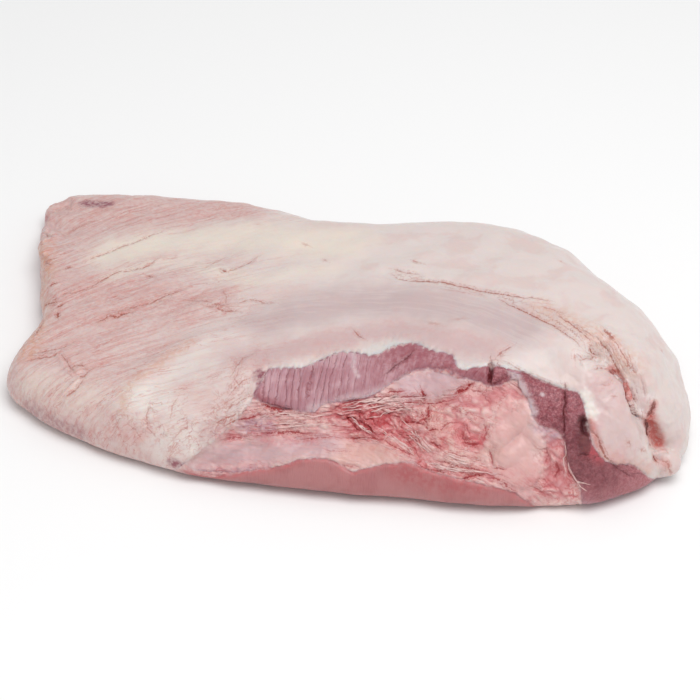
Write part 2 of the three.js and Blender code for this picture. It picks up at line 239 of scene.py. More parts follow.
@dataclass
class BrisketForm:
    """The brisket's plan outline, thickness and layer sheets, as the CAD part has them."""

    outline_knots: Path = (
        (-232, -84), (-200, -109), (-150, -130), (-90, -143), (-30, -145), (40, -143), (115, -139),
        (172, -131), (209, -111), (236, -85), (248, -60), (249, -30), (242, -4), (222, 30), (190, 63),
        (152, 105), (104, 132), (48, 135), (-8, 126), (-60, 138), (-118, 162), (-174, 168),
        (-228, 165), (-262, 153), (-270, 128), (-254, 72), (-243, 30), (-232, -10), (-238, -60),
    )
    outline_samples: int = 4000
    rim: float = 12.0
    foot: float = 16.0
    spine_y: float = -2.0
    spine_stretch: float = 0.75
    spine_ends: tuple[float, float] = (-165.0, 150.0)
    far_drop: float = 0.3
    near_drop: float = 0.06
    cap_thickness: float = 15.0
    cap_wrap: float = 14.0
    flat_end_lean: float = 20.0
    far_lean: float = 13.0
    flat_thickness: float = 34.0
    seam_thickness: float = 9.0
    hidden_depth: float = 4.0
    point_reach: float = 70.0
    frame_shift: tuple[float, float] = (-9.55, 11.19)
    crown: Knots = field(default_factory=lambda: Knots(
        [(-262, 31), (-200, 37), (-130, 48), (-60, 64), (20, 78), (100, 90), (170, 94), (230, 86),
         (262, 76)]))
    near_wall: Knots = field(default_factory=lambda: Knots(
        [(-262, 14), (-200, 26), (-130, 46), (-60, 66), (20, 82), (100, 88), (180, 84), (262, 60)]))
    far_wall: Knots = field(default_factory=lambda: Knots(
        [(-262, 14), (-200, 24), (0, 38), (100, 52), (262, 60)]))
    roundness: Knots = field(default_factory=lambda: Knots(
        [(-262, 2), (-110, 2), (-50, 1.6), (160, 1.6), (215, 2), (262, 2)]))
    cap_edge: Sequence[tuple[float, float, float]] = (
        (-262, -60, 2), (-200, -109, 2), (-104, -142, 2), (-92, -143, 14), (-79, -138, 26), (-60, -125, 41),
        (-49, -113, 52), (-45, -97, 59), (-39, -88, 64), (-18, -86, 66), (-8, -79, 69), (9, -71, 74),
        (27, -71, 76), (45, -65, 80), (62, -67, 82), (83, -75, 82), (93, -82, 80), (101, -81, 82),
        (119, -78, 84), (132, -83, 82), (146, -89, 79), (160, -91, 77), (172, -91, 76), (177, -97, 70),
        (183, -107, 57), (187, -113, 48), (196, -113, 37), (214, -104, 29), (226, -99, 14), (236, -86, 2),
        (244, -74, -8), (262, -60, -10),
    )
    point_edge: Sequence[tuple[float, float, float]] = (
        (-262, -60, 72), (-58, -109, 70), (-47, -107, 55), (-42, -111, 53), (-34, -117, 52), (-5, -116, 51),
        (1, -112, 55), (16, -109, 58), (27, -107, 60), (38, -104, 64), (47, -98, 69), (53, -93, 72),
        (62, -89, 75), (84, -87, 77), (91, -87, 76), (106, -92, 75), (114, -93, 74), (122, -91, 76),
        (128, -88, 78), (131, -89, 78), (134, -93, 75), (141, -97, 70), (145, -101, 63), (150, -105, 59),
        (160, -109, 57), (166, -114, 53), (169, -120, 44), (173, -124, 34), (180, -126, 24), (186, -129, -6),
        (262, -60, -10),
    )
    flat_edge: Sequence[tuple[float, float, float]] = (
        (-262, -60, 12), (-94, -143, 12), (-75, -144, 11), (-57, -142, 14), (-35, -142, 19), (-19, -140, 25),
        (-9, -137, 29), (1, -135, 30), (14, -136, 29), (26, -138, 24), (35, -136, 26), (45, -135, 29),
        (58, -132, 32), (66, -133, 33), (79, -136, 29), (103, -135, 25), (120, -135, 23), (134, -135, 19),
        (144, -135, 13), (152, -133, 4), (158, -132, -6), (262, -60, -10),
    )

    def __post_init__(self) -> None:
        """Samples the outline once and readies the edge curves."""
        k = np.array(self.outline_knots, float)
        t = np.arange(self.outline_samples) / self.outline_samples * len(k)
        i = np.floor(t).astype(int)
        s = (t - i)[:, None]
        p0, p1, p2, p3 = (k[(i + j) % len(k)] for j in (-1, 0, 1, 2))
        m0, m1 = (p2 - p0) / 2, (p3 - p1) / 2
        self.outline = p1 + s * (m0 + s * (3 * (p2 - p1) - 2 * m0 - m1 + s * (m0 + m1 - 2 * (p2 - p1))))
        xs = np.arange(-275.0, 255.0)
        self.far_edge = Knots([(x, self.edge(x, 1)[1]) for x in xs])
        self.near_edge = Knots([(x, self.edge(x, -1)[1]) for x in xs])
        edges = {Layer.FAT_CAP: self.cap_edge, Layer.POINT: self.point_edge, Layer.SEAM: self.flat_edge}
        self.edges = {layer: (Knots(edge), Knots(edge, 2)) for layer, edge in edges.items()}

    def edge(self, x: float, side: int) -> Array:
        """The outline point at one place along the length, on the near (-1) or far (1) side."""
        on_side = self.outline[side * (self.outline[:, 1] - self.spine_y) >= 0]
        return on_side[np.argmin(np.abs(on_side[:, 0] - x))]

    def height(self, x: Array, y: Array) -> Array:
        """Thickness of the meat away from its rounded edges."""
        far = np.clip((y + 20) / 170, 0, 1.2)
        near = np.clip((-20 - y) / 140, 0, 1)
        return self.crown(x) * (1 - self.far_drop * far**1.6 - self.near_drop * near**2)

    def rays(self, step: float) -> tuple[Array, Array]:
        """Rays from the outline to the spine that meet on it in pairs.

        Args:
            step: About how far apart the rays start.

        Returns:
            The rays' starts and their ends, anticlockwise.
        """
        low, high = (end / self.spine_stretch for end in self.spine_ends)
        stations = np.linspace(low, high, round((high - low) / step) + 1)
        near = np.array([self.edge(x, -1) for x in stations])
        far = np.array([self.edge(x, 1) for x in stations])[::-1]
        on_spine = np.clip(stations * self.spine_stretch, *self.spine_ends)
        spine = np.stack([on_spine, np.full(len(stations), self.spine_y)], -1)
        fans = [self._fan(near[-1], far[0], step), self._fan(far[-1], near[0], step)]
        starts = np.vstack([near, fans[0], far, fans[1]])
        ends = np.vstack([spine, np.tile(spine[-1], (len(fans[0]), 1)), spine[::-1],
                          np.tile(spine[0], (len(fans[1]), 1))])
        return starts, ends

    def _fan(self, start: Array, end: Array, step: float) -> Array:
        """Evenly spaced outline points strictly between two others."""
        i, j = (int(np.argmin(np.abs(self.outline - p).sum(1))) for p in (start, end))
        arc = self.outline[np.arange(i, i + (j - i) % self.outline_samples + 1) % self.outline_samples]
        length = np.concatenate([[0], np.cumsum(np.linalg.norm(np.diff(arc, axis=0), axis=1))])
        places = np.linspace(0, length[-1], round(length[-1] / step) + 1)[1:-1]
        return np.stack([np.interp(places, length, arc[:, c]) for c in (0, 1)], -1)

    def skin(self, step: float, rings: tuple[int, int, int]) -> tuple[Array, Array]:
        """The closed skin before any relief.

        Args:
            step: About how far apart the rays start.
            rings: How many rings the foot, the wall and the top have.

        Returns:
            Vertices, and faces as rows of four.
        """
        starts, ends = self.rays(step)
        reach = np.linalg.norm(starts - ends, axis=1)
        x, y = starts.T
        wall = np.minimum(mix(self.near_wall(x), self.far_wall(x), smooth(y, -40, 40)), reach)
        power = 2 / mix(self.roundness(x), 2.0, smooth(y, -60, 0))

        def inwards(d: Array) -> Array:
            """Points at a distance from the outline along the rays."""
            return starts + (ends - starts) * (d / reach)[:, None]

        rows = [np.column_stack([ends, np.zeros(len(ends))])]
        foot, side, top = rings
        for a in np.linspace(math.pi / 2, 0, foot + 1)[:-1]:
            p = inwards(np.full(len(starts), self.foot * (1 - math.cos(a))))
            rows.append(np.column_stack([p, np.full(len(p), self.rim * (1 - math.sin(a)))]))
        for a in np.linspace(0, math.pi / 2, side + 1):
            p = inwards(wall * (1 - max(math.cos(a), 0.0) ** power))
            rows.append(np.column_stack([p, mix(self.rim, self.height(*p.T), math.sin(a) ** power)]))
        for share in np.linspace(0, 1, top + 1)[1:]:
            p = inwards(mix(wall, reach, share))
            rows.append(np.column_stack([p, self.height(*p.T)]))
        count, deep = len(starts), len(rows)
        grid = np.stack(rows, 1).reshape(-1, 3)
        i, j = np.meshgrid(np.arange(count), np.arange(deep - 1), indexing="ij")
        here, there = (i * deep + j).ravel(), (((i + 1) % count) * deep + j).ravel()
        return grid, np.stack([here, there, there + 1, here + 1], -1)

    def sheet(self, layer: Layer, x: Array, y: Array) -> Array:
        """Height of the sheet under a layer: fat cap, point muscle or seam fat.

        Args:
            layer: The layer that lies on the sheet.
            x: Places along the length.
            y: Places across it.

        Returns:
            The sheet's height at each place.
        """
        if layer is Layer.FAT_CAP:
            edge_y, edge_z = self.edges[Layer.FAT_CAP]
            lean = mix(self.flat_end_lean, self.height(x, y) - self.cap_thickness, smooth(x, -220, -60))
            wrap = mix(self.cap_wrap, 0.0, smooth(x, -110, -80))
            inner = smooth((y - edge_y(x) - wrap) / 40, 0, 1)
            body = mix(edge_z(x), lean, inner)
            far = self.far_edge(x)
            body = mix(body, self.far_lean, smooth((y - far + 60) / 50, 0, 1))
            return mix(body, edge_z(x), smooth(x, 196, 232))
        cap = self.sheet(Layer.FAT_CAP, x, y) + self.hidden_depth
        past = smooth(y, self.point_reach - 40, self.point_reach)
        edge_y, edge_z = self.edges[layer]
        if layer is Layer.SEAM:
            deep = mix(self.flat_thickness, edge_z(x), smooth(x, 120, 160))
            body = mix(edge_z(x), deep, smooth(y - edge_y(x), 15, 70))
            return mix(body, cap, np.maximum(past * smooth(x, 160, 120), smooth(x, -80, -100)))
        deep = np.minimum(edge_z(x), self.sheet(Layer.SEAM, x, y) + self.seam_thickness)
        body = mix(edge_z(x), deep, smooth(y - edge_y(x), 8, 70))
        return mix(body, cap, past * smooth(x, 190, 150))


FORM = BrisketForm()


# ------------------------------ where things show


@dataclass(frozen=True)
class PhotoView:
    """The photograph's viewpoint, and the way from one of its pixels to the meat."""

    size: int = 700
    azimuth: float = 10.0
    elevation: float = 38.0
    distance: float = 1600.0
    focal_px: float = 2200.8
    aim: tuple[float, float, float] = (0.0, 0.0, 35.0)
    aim_px: tuple[float, float] = (349.0, 330.0)

    def axes(self) -> tuple[Array, Array, Array]:
        """The directions to the right, up and back from the view."""
        a, e = math.radians(self.azimuth), math.radians(self.elevation)
        right = np.array([math.cos(a), math.sin(a), 0.0])
        back = np.array([math.sin(a) * math.cos(e), -math.cos(a) * math.cos(e), math.sin(e)])
        return right, np.cross(back, right), back

    def eye(self) -> Array:
        """Where the camera stands, in the outline's frame."""
        return np.array(self.aim) + self.axes()[2] * self.distance

    def ray(self, px: tuple[float, float]) -> Array:
        """The direction from the eye through a pixel."""
        right, up, back = self.axes()
        x, y = ((px[i] - self.aim_px[i]) / self.focal_px for i in (0, 1))
        way = right * x - up * y - back
        return way / np.linalg.norm(way)

    def place_camera(self) -> None:
        """Makes the scene's camera."""
        data = bpy.data.cameras.new("camera")
        data.sensor_width = 36.0
        data.lens = data.sensor_width * self.focal_px / self.size
        data.shift_x = (self.size / 2 - self.aim_px[0]) / self.size
        data.shift_y = (self.aim_px[1] - self.size / 2) / self.size
        data.clip_start, data.clip_end = 0.05, 20.0
        camera = linked("camera", data)
        camera.location = Vector((self.eye() - SHIFT) * MM)
        camera.rotation_euler = Vector(self.axes()[2]).to_track_quat("Z", "Y").to_euler()
        bpy.context.scene.camera = camera


VIEW = PhotoView()
SHIFT = np.array([*FORM.frame_shift, 0.0])


class Spotter:
    """Finds the place on the meat that a pixel of the photograph shows."""

    def __init__(self, points: Array, faces: Array) -> None:
        """Args:
            points: The meat's skin, in the outline's frame.
            faces: Its triangles, as rows of corner numbers.
        """
        self.tree = BVHTree.FromPolygons(points.tolist(), faces.tolist())

    def path(self, pixels: Path) -> Array:
        """The skin points under some pixels, in the outline's frame."""
        eye = Vector(VIEW.eye())
        hits = (self.tree.ray_cast(eye, Vector(VIEW.ray(px)))[0] for px in pixels)
        return np.array([hit for hit in hits if hit is not None])


# ------------------------------ meshes


def linked(name: str, data: bpy.types.ID) -> Object:
    """A new object in the scene."""
    made = bpy.data.objects.new(name, data)
    bpy.context.scene.collection.objects.link(made)
    return made


def linked_mesh(name: str, points: Array, faces: Array) -> Object:
    """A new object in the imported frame, in metres.

    Args:
        name: The object's name.
        points: Vertices in the outline's frame, in millimetres.
        faces: Rows of corner numbers.

    Returns:
        The object, linked to the scene.
    """
    mesh = bpy.data.meshes.new(name)
    mesh.from_pydata(((points - SHIFT) * MM).tolist(), [], faces.tolist())
    mesh.validate()
    return linked(name, mesh)


def bake(obj: Object) -> None:
    """Turns an object's live modifiers into plain mesh."""
    evaluated = obj.evaluated_get(bpy.context.evaluated_depsgraph_get())
    mesh = bpy.data.meshes.new_from_object(evaluated)
    obj.modifiers.clear()
    old, obj.data = obj.data, mesh
    bpy.data.meshes.remove(old)


def fetch(items: bpy.types.bpy_prop_collection, key: str, width: int) -> Array:
    """One number for each item, or one row of numbers."""
    values = np.empty(len(items) * width, np.float32)
    items.foreach_get(key, values)
    return values.astype(float) if width == 1 else values.reshape(-1, width).astype(float)


def corners(mesh: Mesh) -> Array:
    """A mesh's vertices in the outline's frame, in millimetres."""
    return fetch(mesh.vertices, "co", 3) / MM + SHIFT


def corner_normals(mesh: Mesh) -> Array:
    """A mesh's vertex normals."""
    return fetch(mesh.vertex_normals, "vector", 3)


def move_corners(mesh: Mesh, points: Array) -> None:
    """Puts a mesh's vertices at new places in the outline's frame."""
    mesh.vertices.foreach_set("co", ((points - SHIFT) * MM).astype(np.float32).ravel())
    mesh.update()


def stored(mesh: Mesh, name: str) -> Array:
    """The numbers or vectors that a mesh stores under a name, one a vertex."""
    found = mesh.attributes[name]
    return fetch(found.data, "value", 1) if found.data_type == "FLOAT" else fetch(found.data, "vector", 3)


def store(mesh: Mesh, name: str, values: Array) -> None:
    """Stores one number or one vector a vertex under a name that materials read."""
    kind, key = ("FLOAT", "value") if values.ndim == 1 else ("FLOAT_VECTOR", "vector")
    found = mesh.attributes.get(name) or mesh.attributes.new(name, kind, "POINT")
    found.data.foreach_set(key, values.astype(np.float32).ravel())


def weld(obj: Object) -> None:
    """Merges an object's doubled vertices and turns its faces outwards."""
    work = bmesh.new()
    work.from_mesh(obj.data)
    bmesh.ops.remove_doubles(work, verts=work.verts, dist=WELD_REACH * MM)
    bmesh.ops.recalc_face_normals(work, faces=work.faces)
    work.to_mesh(obj.data)
    work.free()


def refine(obj: Object, wanted: Callable[[Array], Array]) -> None:
    """Halves the edges of an object's mesh where its points are wanted finer.

    Args:
        obj: The object.
        wanted: Says of points in the outline's frame whether each lies in a fine region.
    """
    work = bmesh.new()
    work.from_mesh(obj.data)
    chosen = wanted(corners(obj.data))
    edges = [e for e in work.edges if chosen[e.verts[0].index] and chosen[e.verts[1].index]]
    bmesh.ops.subdivide_edges(work, edges=edges, cuts=1, use_grid_fill=True)
    work.to_mesh(obj.data)
    work.free()


def intersect(obj: Object, tool: Object, keep_inside: bool, name: str) -> Object:
    """Cuts a copy of one closed object with another.

    Args:
        obj: The object to cut.
        tool: The object to cut it with.
        keep_inside: Keeps what lies inside the tool, instead of what lies outside.
        name: The new object's name.

    Returns:
        The part that is kept, as a new object.
    """
    made = linked(name, obj.data.copy())
    cut = made.modifiers.new("cut", "BOOLEAN")
    cut.operation = "INTERSECT" if keep_inside else "DIFFERENCE"
    cut.solver = "MANIFOLD"
    cut.object = tool
    bake(made)
    return made


def fill_cut_edge(mesh: Mesh) -> None:
    """Gives the vertices along a cut the mean of what their neighbours on the skin store."""
    on_skin = stored(mesh, "on_skin") > 0.5
    ends = np.empty(len(mesh.edges) * 2, np.int32)
    mesh.edges.foreach_get("vertices", ends)
    pairs = ends.reshape(-1, 2)
    pairs = np.vstack([pairs, pairs[:, ::-1]])
    pairs = pairs[~on_skin[pairs[:, 0]] & on_skin[pairs[:, 1]]]
    count = np.bincount(pairs[:, 0], minlength=len(on_skin))
    found = count > 0
    for name in ("relief", "rest", "facing"):
        values = stored(mesh, name)
        for column in np.atleast_2d(values.T):
            total = np.bincount(pairs[:, 0], weights=column[pairs[:, 1]], minlength=len(on_skin))
            column[found] = total[found] / count[found]
        store(mesh, name, values)


def discard(*objects: Object) -> None:
    """Removes objects with their meshes."""
    for obj in objects:
        mesh = obj.data
        bpy.data.objects.remove(obj)
        bpy.data.meshes.remove(mesh)


# ------------------------------ large forms


@dataclass(frozen=True)
class Swell:
    """A raised or sunk line on the meat that shows from a step away."""

    path: Sequence[tuple[float, float, float]]
    rise: float = 0.0
    width: float = 1.0
    depth: float = 0.0
    crease: float = 1.0

    def relief(self, p: Array) -> Array:
        """How far the line moves each point outwards."""
        d = path_distance(p, np.array(self.path, float))[0]
        return self.rise * bump(d, self.width) - self.depth * bump(d, self.crease)


RIDGE = Swell(
    ((-136, -117, 41), (-132, -103, 48), (-126, -87, 51), (-116, -68, 53), (-96, -57, 58), (-68, -51, 65),
     (-33, -48, 70)), rise=3.2, width=13)
OVERLAP = Swell(
    ((25, 18, 77), (35, 11, 78), (65, 0, 85), (94, -7, 87), (117, -22, 90), (143, -34, 91), (165, -53, 94),
     (182, -61, 87)), rise=1.6, width=18, depth=3, crease=6)
FOLD = Swell(
    ((183, -66, 86), (193, -70, 81), (202, -71, 76), (211, -79, 64), (216, -86, 55), (224, -85, 42),
     (231, -82, 28)), rise=4, width=24, depth=12, crease=8)
FLAT_END_TUCK = Swell(((-268, 124, 18), (-255, 108, 24), (-240, 98, 31)), depth=6, crease=8)


def lumps(p: Array) -> Array:
    """Soft unevenness of the flesh, as the CAD part has it."""
    def wave(a: float, b: float, c: float, phase: float) -> Array:
        """A wave that runs in one direction."""
        return np.sin(p @ np.array([a, b, c]) + phase)

    return (0.45 * wave(0.061, 0.043, 0.05, 0.4) + 0.35 * wave(-0.093, 0.117, 0.08, 1.9)
            + 0.3 * wave(0.17, 0.061, -0.21, 3.1) * wave(0.05, -0.19, 0.13, 0.7))


@dataclass(frozen=True)
class Bellies:
    """How far the layers of the near wall bulge out or sink in, as the CAD part has it."""

    seam_recess: float = 5.5
    seam_unevenness: float = 3.2
    point: float = 2.6
    flat: float = 1.6
    lumpiness: float = 1.5

    def relief(self, p: Array) -> Array:
        """How far the bellies move each point outwards."""
        x, y, z = p.T
        cap = FORM.sheet(Layer.FAT_CAP, x, y)
        point = np.minimum(FORM.sheet(Layer.POINT, x, y), cap)
        flat = np.minimum(FORM.sheet(Layer.SEAM, x, y), point)

        def belly(low: Array, high: Array) -> Array:
            """An arch between two heights, 1 in the middle."""
            s = np.clip((z - low) / np.maximum(high - low, 1), 0, 1)
            return 4 * s * (1 - s)

        ragged = lumps(p * np.array([2.4, 2.0, 2.4]))
        torn = belly(flat, point) * (self.seam_unevenness * ragged - self.seam_recess) * smooth(x, 190, 150)
        on_wall = smooth(y, -20, -60) * smooth(x, -115, -70)
        wall = on_wall * (self.point * belly(point, cap) + torn + self.flat * belly(0, flat))
        return wall + self.lumpiness * lumps(p)


# ------------------------------ the ground


WALL_UP = (0.62, 0.79)
WALL_FOOT = 140
BUNDLE = 5.4
FIBRE_LEAN = ((-60, -0.04), (20, 0.0), (60, 0.12), (90, 0.35), (125, 0.6))
GRAIN_LEVEL = 83.0


@dataclass(frozen=True)
class Fray:
    """How softly and how raggedly the edge of a layer ends on the next, on the wall and at the flat side."""

    seed: int
    softness: tuple[float, float]
    reach: tuple[float, float]
    grain: tuple[float, float]
    lowered: float = 0.0


FRAYS = {
    Layer.FAT_CAP: Fray(41, (0.9, 13.0), (1.1, 9.0), (4.0, 11.0), lowered=5.0),
    Layer.POINT: Fray(42, (1.1, 1.5), (1.7, 2.0), (4.5, 5.0)),
    Layer.SEAM: Fray(43, (1.0, 1.2), (1.5, 1.6), (6.0, 9.0), lowered=4.0),
}


class Ground:
    """Points on the meat's skin, with the way they face and the distance to the layers' ragged edges."""

    PROBE = 0.5

    def __init__(self, p: Array, n: Array) -> None:
        """Args:
            p: Points in the outline's frame.
            n: The skin's normals there.
        """
        self.p, self.n = p, n
        self.x, self.y, self.z = p.T
        self.up_wall = WALL_UP[1] * self.z + WALL_UP[0] * (self.y + WALL_FOOT)
        self.lean = self.x - np.interp(self.x, *np.array(FIBRE_LEAN).T) * (self.up_wall - GRAIN_LEVEL)
        wave = 1.7 * Noise(11).smooth(lane(self.lean / 9, self.up_wall / 17))
        uneven = 0.8 * Noise(17).fractal(lane(self.lean / 13, self.up_wall / 40), 2)
        self.phase = (self.lean + wave) / BUNDLE + uneven
        at_end = smooth(self.x, -46, -76)
        self.above, self.over = {}, {}
        for layer, fray in FRAYS.items():
            near, far = (Noise(fray.seed).fractal(p / size, 3, 0.6) * reach
                         for size, reach in zip(fray.grain, fray.reach))
            edge = self._above(layer) + mix(near, far + fray.lowered, at_end)
            if layer is Layer.FAT_CAP:
                scallop = 1.0 - 2.2 * np.abs(np.sin(math.pi * self.phase)) ** 0.7
                edge += scallop * smooth(self.x, -75, -50) * smooth(self.x, 125, 60) * smooth(self.y, 20, -40)
            soft = mix(*fray.softness, at_end)
            self.above[layer] = edge
            self.over[layer] = smooth(edge / soft, -1, 1)
        cap, point, seam = (self.over[k] for k in FRAYS)
        self.share = {
            Layer.FAT_CAP: cap,
            Layer.POINT: (1 - cap) * point,
            Layer.SEAM: (1 - cap) * (1 - point) * seam,
            Layer.FLAT: (1 - cap) * (1 - point) * (1 - seam),
        }

    def part(self, here: Array) -> "Ground":
        """The same for some of the points.

        Args:
            here: Which points to take.

        Returns:
            A smaller ground.
        """
        made = object.__new__(Ground)
        for name, values in vars(self).items():
            picked = {k: v[here] for k, v in values.items()} if isinstance(values, dict) else values[here]
            setattr(made, name, picked)
        return made

    def _above(self, layer: Layer) -> Array:
        """Distance over the skin from the lower edge of a layer, more than 0 on the layer's side."""
        e = self.PROBE
        here = FORM.sheet(layer, self.x, self.y)
        slope_x = (FORM.sheet(layer, self.x + e, self.y) - here) / e
        slope_y = (FORM.sheet(layer, self.x, self.y + e) - here) / e
        gradient = np.column_stack([-slope_x, -slope_y, np.ones(len(here))])
        along_normal = np.einsum("ij,ij->i", gradient, self.n)[:, None] * self.n
        steepness = np.linalg.norm(gradient - along_normal, axis=1)
        return (self.z - here) / np.maximum(steepness, 0.12)


# ------------------------------ strokes and patches


@dataclass(frozen=True)
class Stroke:
    """A thin mark over the skin, stained, furrowed or raised: a vein, a crease, a fold or a pit."""

    pixels: Path
    ink: float = 0.6
    ink_width: float = 0.7
    depth: float = 0.0
    width: float = 1.4

    def trace(self, spotter: Spotter) -> "TracedStroke":
        """Lays the mark over the meat."""
        return TracedStroke(self, spotter.path(self.pixels))


@dataclass
class TracedStroke:
    """A stroke where it lies on the meat."""

    stroke: Stroke
    path: Array

    def near(self, p: Array, reach: float) -> tuple[Array, Array, Array, Array]:
        """Which points lie near the stroke.

        Args:
            p: Points, one row each.
            reach: How far from the stroke counts as near.

        Returns:
            Their numbers, their distances, how far along the stroke each is and the offsets from it.
        """
        low, high = self.path.min(0) - reach, self.path.max(0) + reach
        found = np.flatnonzero(((p > low) & (p < high)).all(1))
        d, along, offset = path_distance(p[found], self.path)
        return found, d, along, offset

    def relief(self, p: Array) -> Array:
        """How far the stroke moves each point outwards; its width tapers towards its ends."""
        s, total = self.stroke, np.zeros(len(p))
        found, d, along, _ = self.near(p, 3 * s.width + 2)
        taper = np.clip(4 * along * (1 - along), 0.0, 1) ** 0.5 * 0.75 + 0.25
        ragged = 1 + 0.22 * Noise(51).fractal(p[found] / 3.2, 2)
        total[found] = -s.depth * (0.4 + 0.6 * taper) * bump(d * ragged, s.width * taper)
        return total


def marks(traced: Sequence[TracedStroke], ground: Ground) -> dict[str, Array]:
    """What the materials read to draw the strokes finer than the mesh.

    Args:
        traced: The strokes on the meat.
        ground: The points to mark.

    Returns:
        The distance to the nearest stroke with a sign for its side, its width, how strongly it is inked
        and how deeply it is furrowed.
    """
    count = len(ground.p)
    best = np.full(count, 99.0)
    beside = np.full(count, STROKE_REACH)
    ink, deep, width = np.zeros(count), np.zeros(count), np.full(count, 0.7)
    for t in traced:
        if not t.stroke.ink:
            continue
        found, d, along, offset = t.near(ground.p, STROKE_REACH)
        step = t.path[-1] - t.path[0]
        side = np.sign(np.einsum("ij,ij->i", np.cross(step[None, :], offset), ground.n[found]) + 1e-9)
        closer = (d - t.stroke.ink_width < best[found]) & (d < STROKE_REACH)
        i = found[closer]
        best[i] = d[closer] - t.stroke.ink_width
        beside[i] = (d * side)[closer]
        taper = np.clip(6 * along * (1 - along), 0, 1)[closer]
        ink[i] = t.stroke.ink * (0.35 + 0.65 * taper) * smooth(d[closer], STROKE_REACH, STROKE_REACH - 3)
        width[i] = t.stroke.ink_width
        deep[i] = min(max(t.stroke.depth / 3, 0), 1)
    return {"line_beside": beside, "line_ink": ink, "line_width": width, "line_deep": deep}


@dataclass(frozen=True)
class Patch:
    """A soft-edged area that the photograph shows, round a line of pixels."""

    pixels: Path
    radius: float
    softness: float = 0.5

    def trace(self, spotter: Spotter) -> "TracedPatch":
        """Lays the patch over the meat."""
        return TracedPatch(self, spotter.path(self.pixels))


@dataclass
class TracedPatch:
    """A patch where it lies on the meat."""

    patch: Patch
    path: Array

    def share(self, p: Array) -> Array:
        """How far each point belongs to the patch, whose edge wanders."""
        path = self.path if len(self.path) > 1 else np.vstack([self.path, self.path + 0.01])
        total, size = np.zeros(len(p)), self.patch
        reach = 2.6 * size.radius
        near = np.flatnonzero(((p > path.min(0) - reach) & (p < path.max(0) + reach)).all(1))
        wander = 0.3 * Noise(52).fractal(p[near] / max(0.6 * size.radius, 2.5), 3, 0.6)
        d = path_distance(p[near], path)[0] / size.radius + wander
        total[near] = smooth(d, 1 + size.softness, 1 - size.softness)
        return total


# ------------------------------ the whole meat


@dataclass
class WholeMeat:
    """The brisket as one closed skin, before it is cut into its layers."""

    ray_step: float = 2.4
    rings: tuple[int, int, int] = (8, 44, 44)
    voxel: float = 1.8
    polish_rounds: int = 3
    polish_share: float = 0.5
    foot_height: float = 0.05
    foot_free: tuple[float, float] = (0.5, 12.0)
    sunk_foot: float = 2.0
    fine_wall: tuple[float, float] = (-118.0, -50.0)
    fine_end: tuple[float, float] = (168.0, -38.0)
    fine_heights: tuple[float, float] = (0.6, 84.0)
    fine_above_cap_edge: float = 9.0
    fine_beside_strokes: float = 2.6
    swells: tuple[Swell, ...] = (RIDGE, OVERLAP, FOLD, FLAT_END_TUCK)
    bellies: Bellies = Bellies()

    def build(self, coverings: Sequence["Covering"], strokes: Sequence[Stroke]) -> Object:
        """Makes the skin with all its relief, and stores on it what the materials read.

        Args:
            coverings: What each layer adds to the skin where it shows.
            strokes: The marks over all the layers.

        Returns:
            The finished closed skin.
        """
        grid, faces = FORM.skin(self.ray_step, self.rings)
        obj = linked_mesh("whole_meat", grid, faces)
        weld(obj)
        self._move(obj, self._large_relief(corners(obj.data)))
        LOG.info("large forms: %d vertices", len(obj.data.vertices))
        triangles = np.array([list(f.vertices)[:3] for f in obj.data.polygons]
                             + [[f.vertices[0], f.vertices[2], f.vertices[-1]] for f in obj.data.polygons])
        self.spotter = Spotter(corners(obj.data), triangles)
        traced = [stroke.trace(self.spotter) for stroke in strokes]
        self.traced = [t for t in traced if len(t.path) > 1]
        for covering in coverings:
            covering.spot(self.spotter)
        self._sink_foot(obj)
        self._remesh(obj)
        refine(obj, self._fine_region)
        LOG.info("fine skin: %d vertices", len(obj.data.vertices))
        ground = Ground(corners(obj.data), corner_normals(obj.data))
        relief = sum(t.relief(ground.p) for t in self.traced)
        for covering in coverings:
            share = ground.share[covering.layer]
            here = share > SHOWN_FROM
            relief[here] += share[here] * covering.relief(ground.part(here))
        self._move(obj, relief)
        self._store(obj, ground, relief)
        return obj

    def _large_relief(self, p: Array) -> Array:
        """Relief of the forms that show from a step away."""
        total = self.bellies.relief(p)
        for swell in self.swells:
            total += swell.relief(p)
        return total

    def _move(self, obj: Object, relief: Array) -> None:
        """Moves the skin along its normals, less and less towards the flat underside."""
        p = corners(obj.data)
        free = smooth(p[:, 2], *self.foot_free)
        p += corner_normals(obj.data) * (relief * free)[:, None]
        move_corners(obj.data, p)

    def _sink_foot(self, obj: Object) -> None:
        """Lowers the flat underside, so that it can be cut off level."""
        p = corners(obj.data)
        p[p[:, 2] < self.foot_height, 2] = -self.sunk_foot
        move_corners(obj.data, p)

    def _remesh(self, obj: Object) -> None:
        """Gives the skin even faces and smooths the steps that this leaves."""
        even = obj.modifiers.new("even", "REMESH")
        even.mode = "VOXEL"
        even.voxel_size = self.voxel * MM
        polish = obj.modifiers.new("polish", "SMOOTH")
        polish.factor = self.polish_share
        polish.iterations = self.polish_rounds
        bake(obj)

    def _fine_region(self, p: Array) -> Array:
        """Whether points lie on the trimmed wall, the folds of the point end or beside a furrow."""
        x, y, z = p.T
        low, high = self.fine_heights
        fine = (x > self.fine_wall[0]) & (y < self.fine_wall[1]) & (z > low) & (z < high)
        fine &= z < FORM.sheet(Layer.FAT_CAP, x, y) + self.fine_above_cap_edge
        fine |= (x > self.fine_end[0]) & (y < self.fine_end[1]) & (z > low)
        for t in self.traced:
            if t.stroke.depth:
                found, d, _, _ = t.near(p, self.fine_beside_strokes)
                fine[found[d < self.fine_beside_strokes]] = True
        return fine

    def _store(self, obj: Object, ground: Ground, relief: Array) -> None:
        """Stores what every material reads."""
        mesh = obj.data
        everywhere = np.ones(len(mesh.vertices))
        kept = {"on_skin": everywhere, "relief": relief, "rest": ground.p, "facing": ground.n}
        for name, values in kept.items():
            store(mesh, name, values)


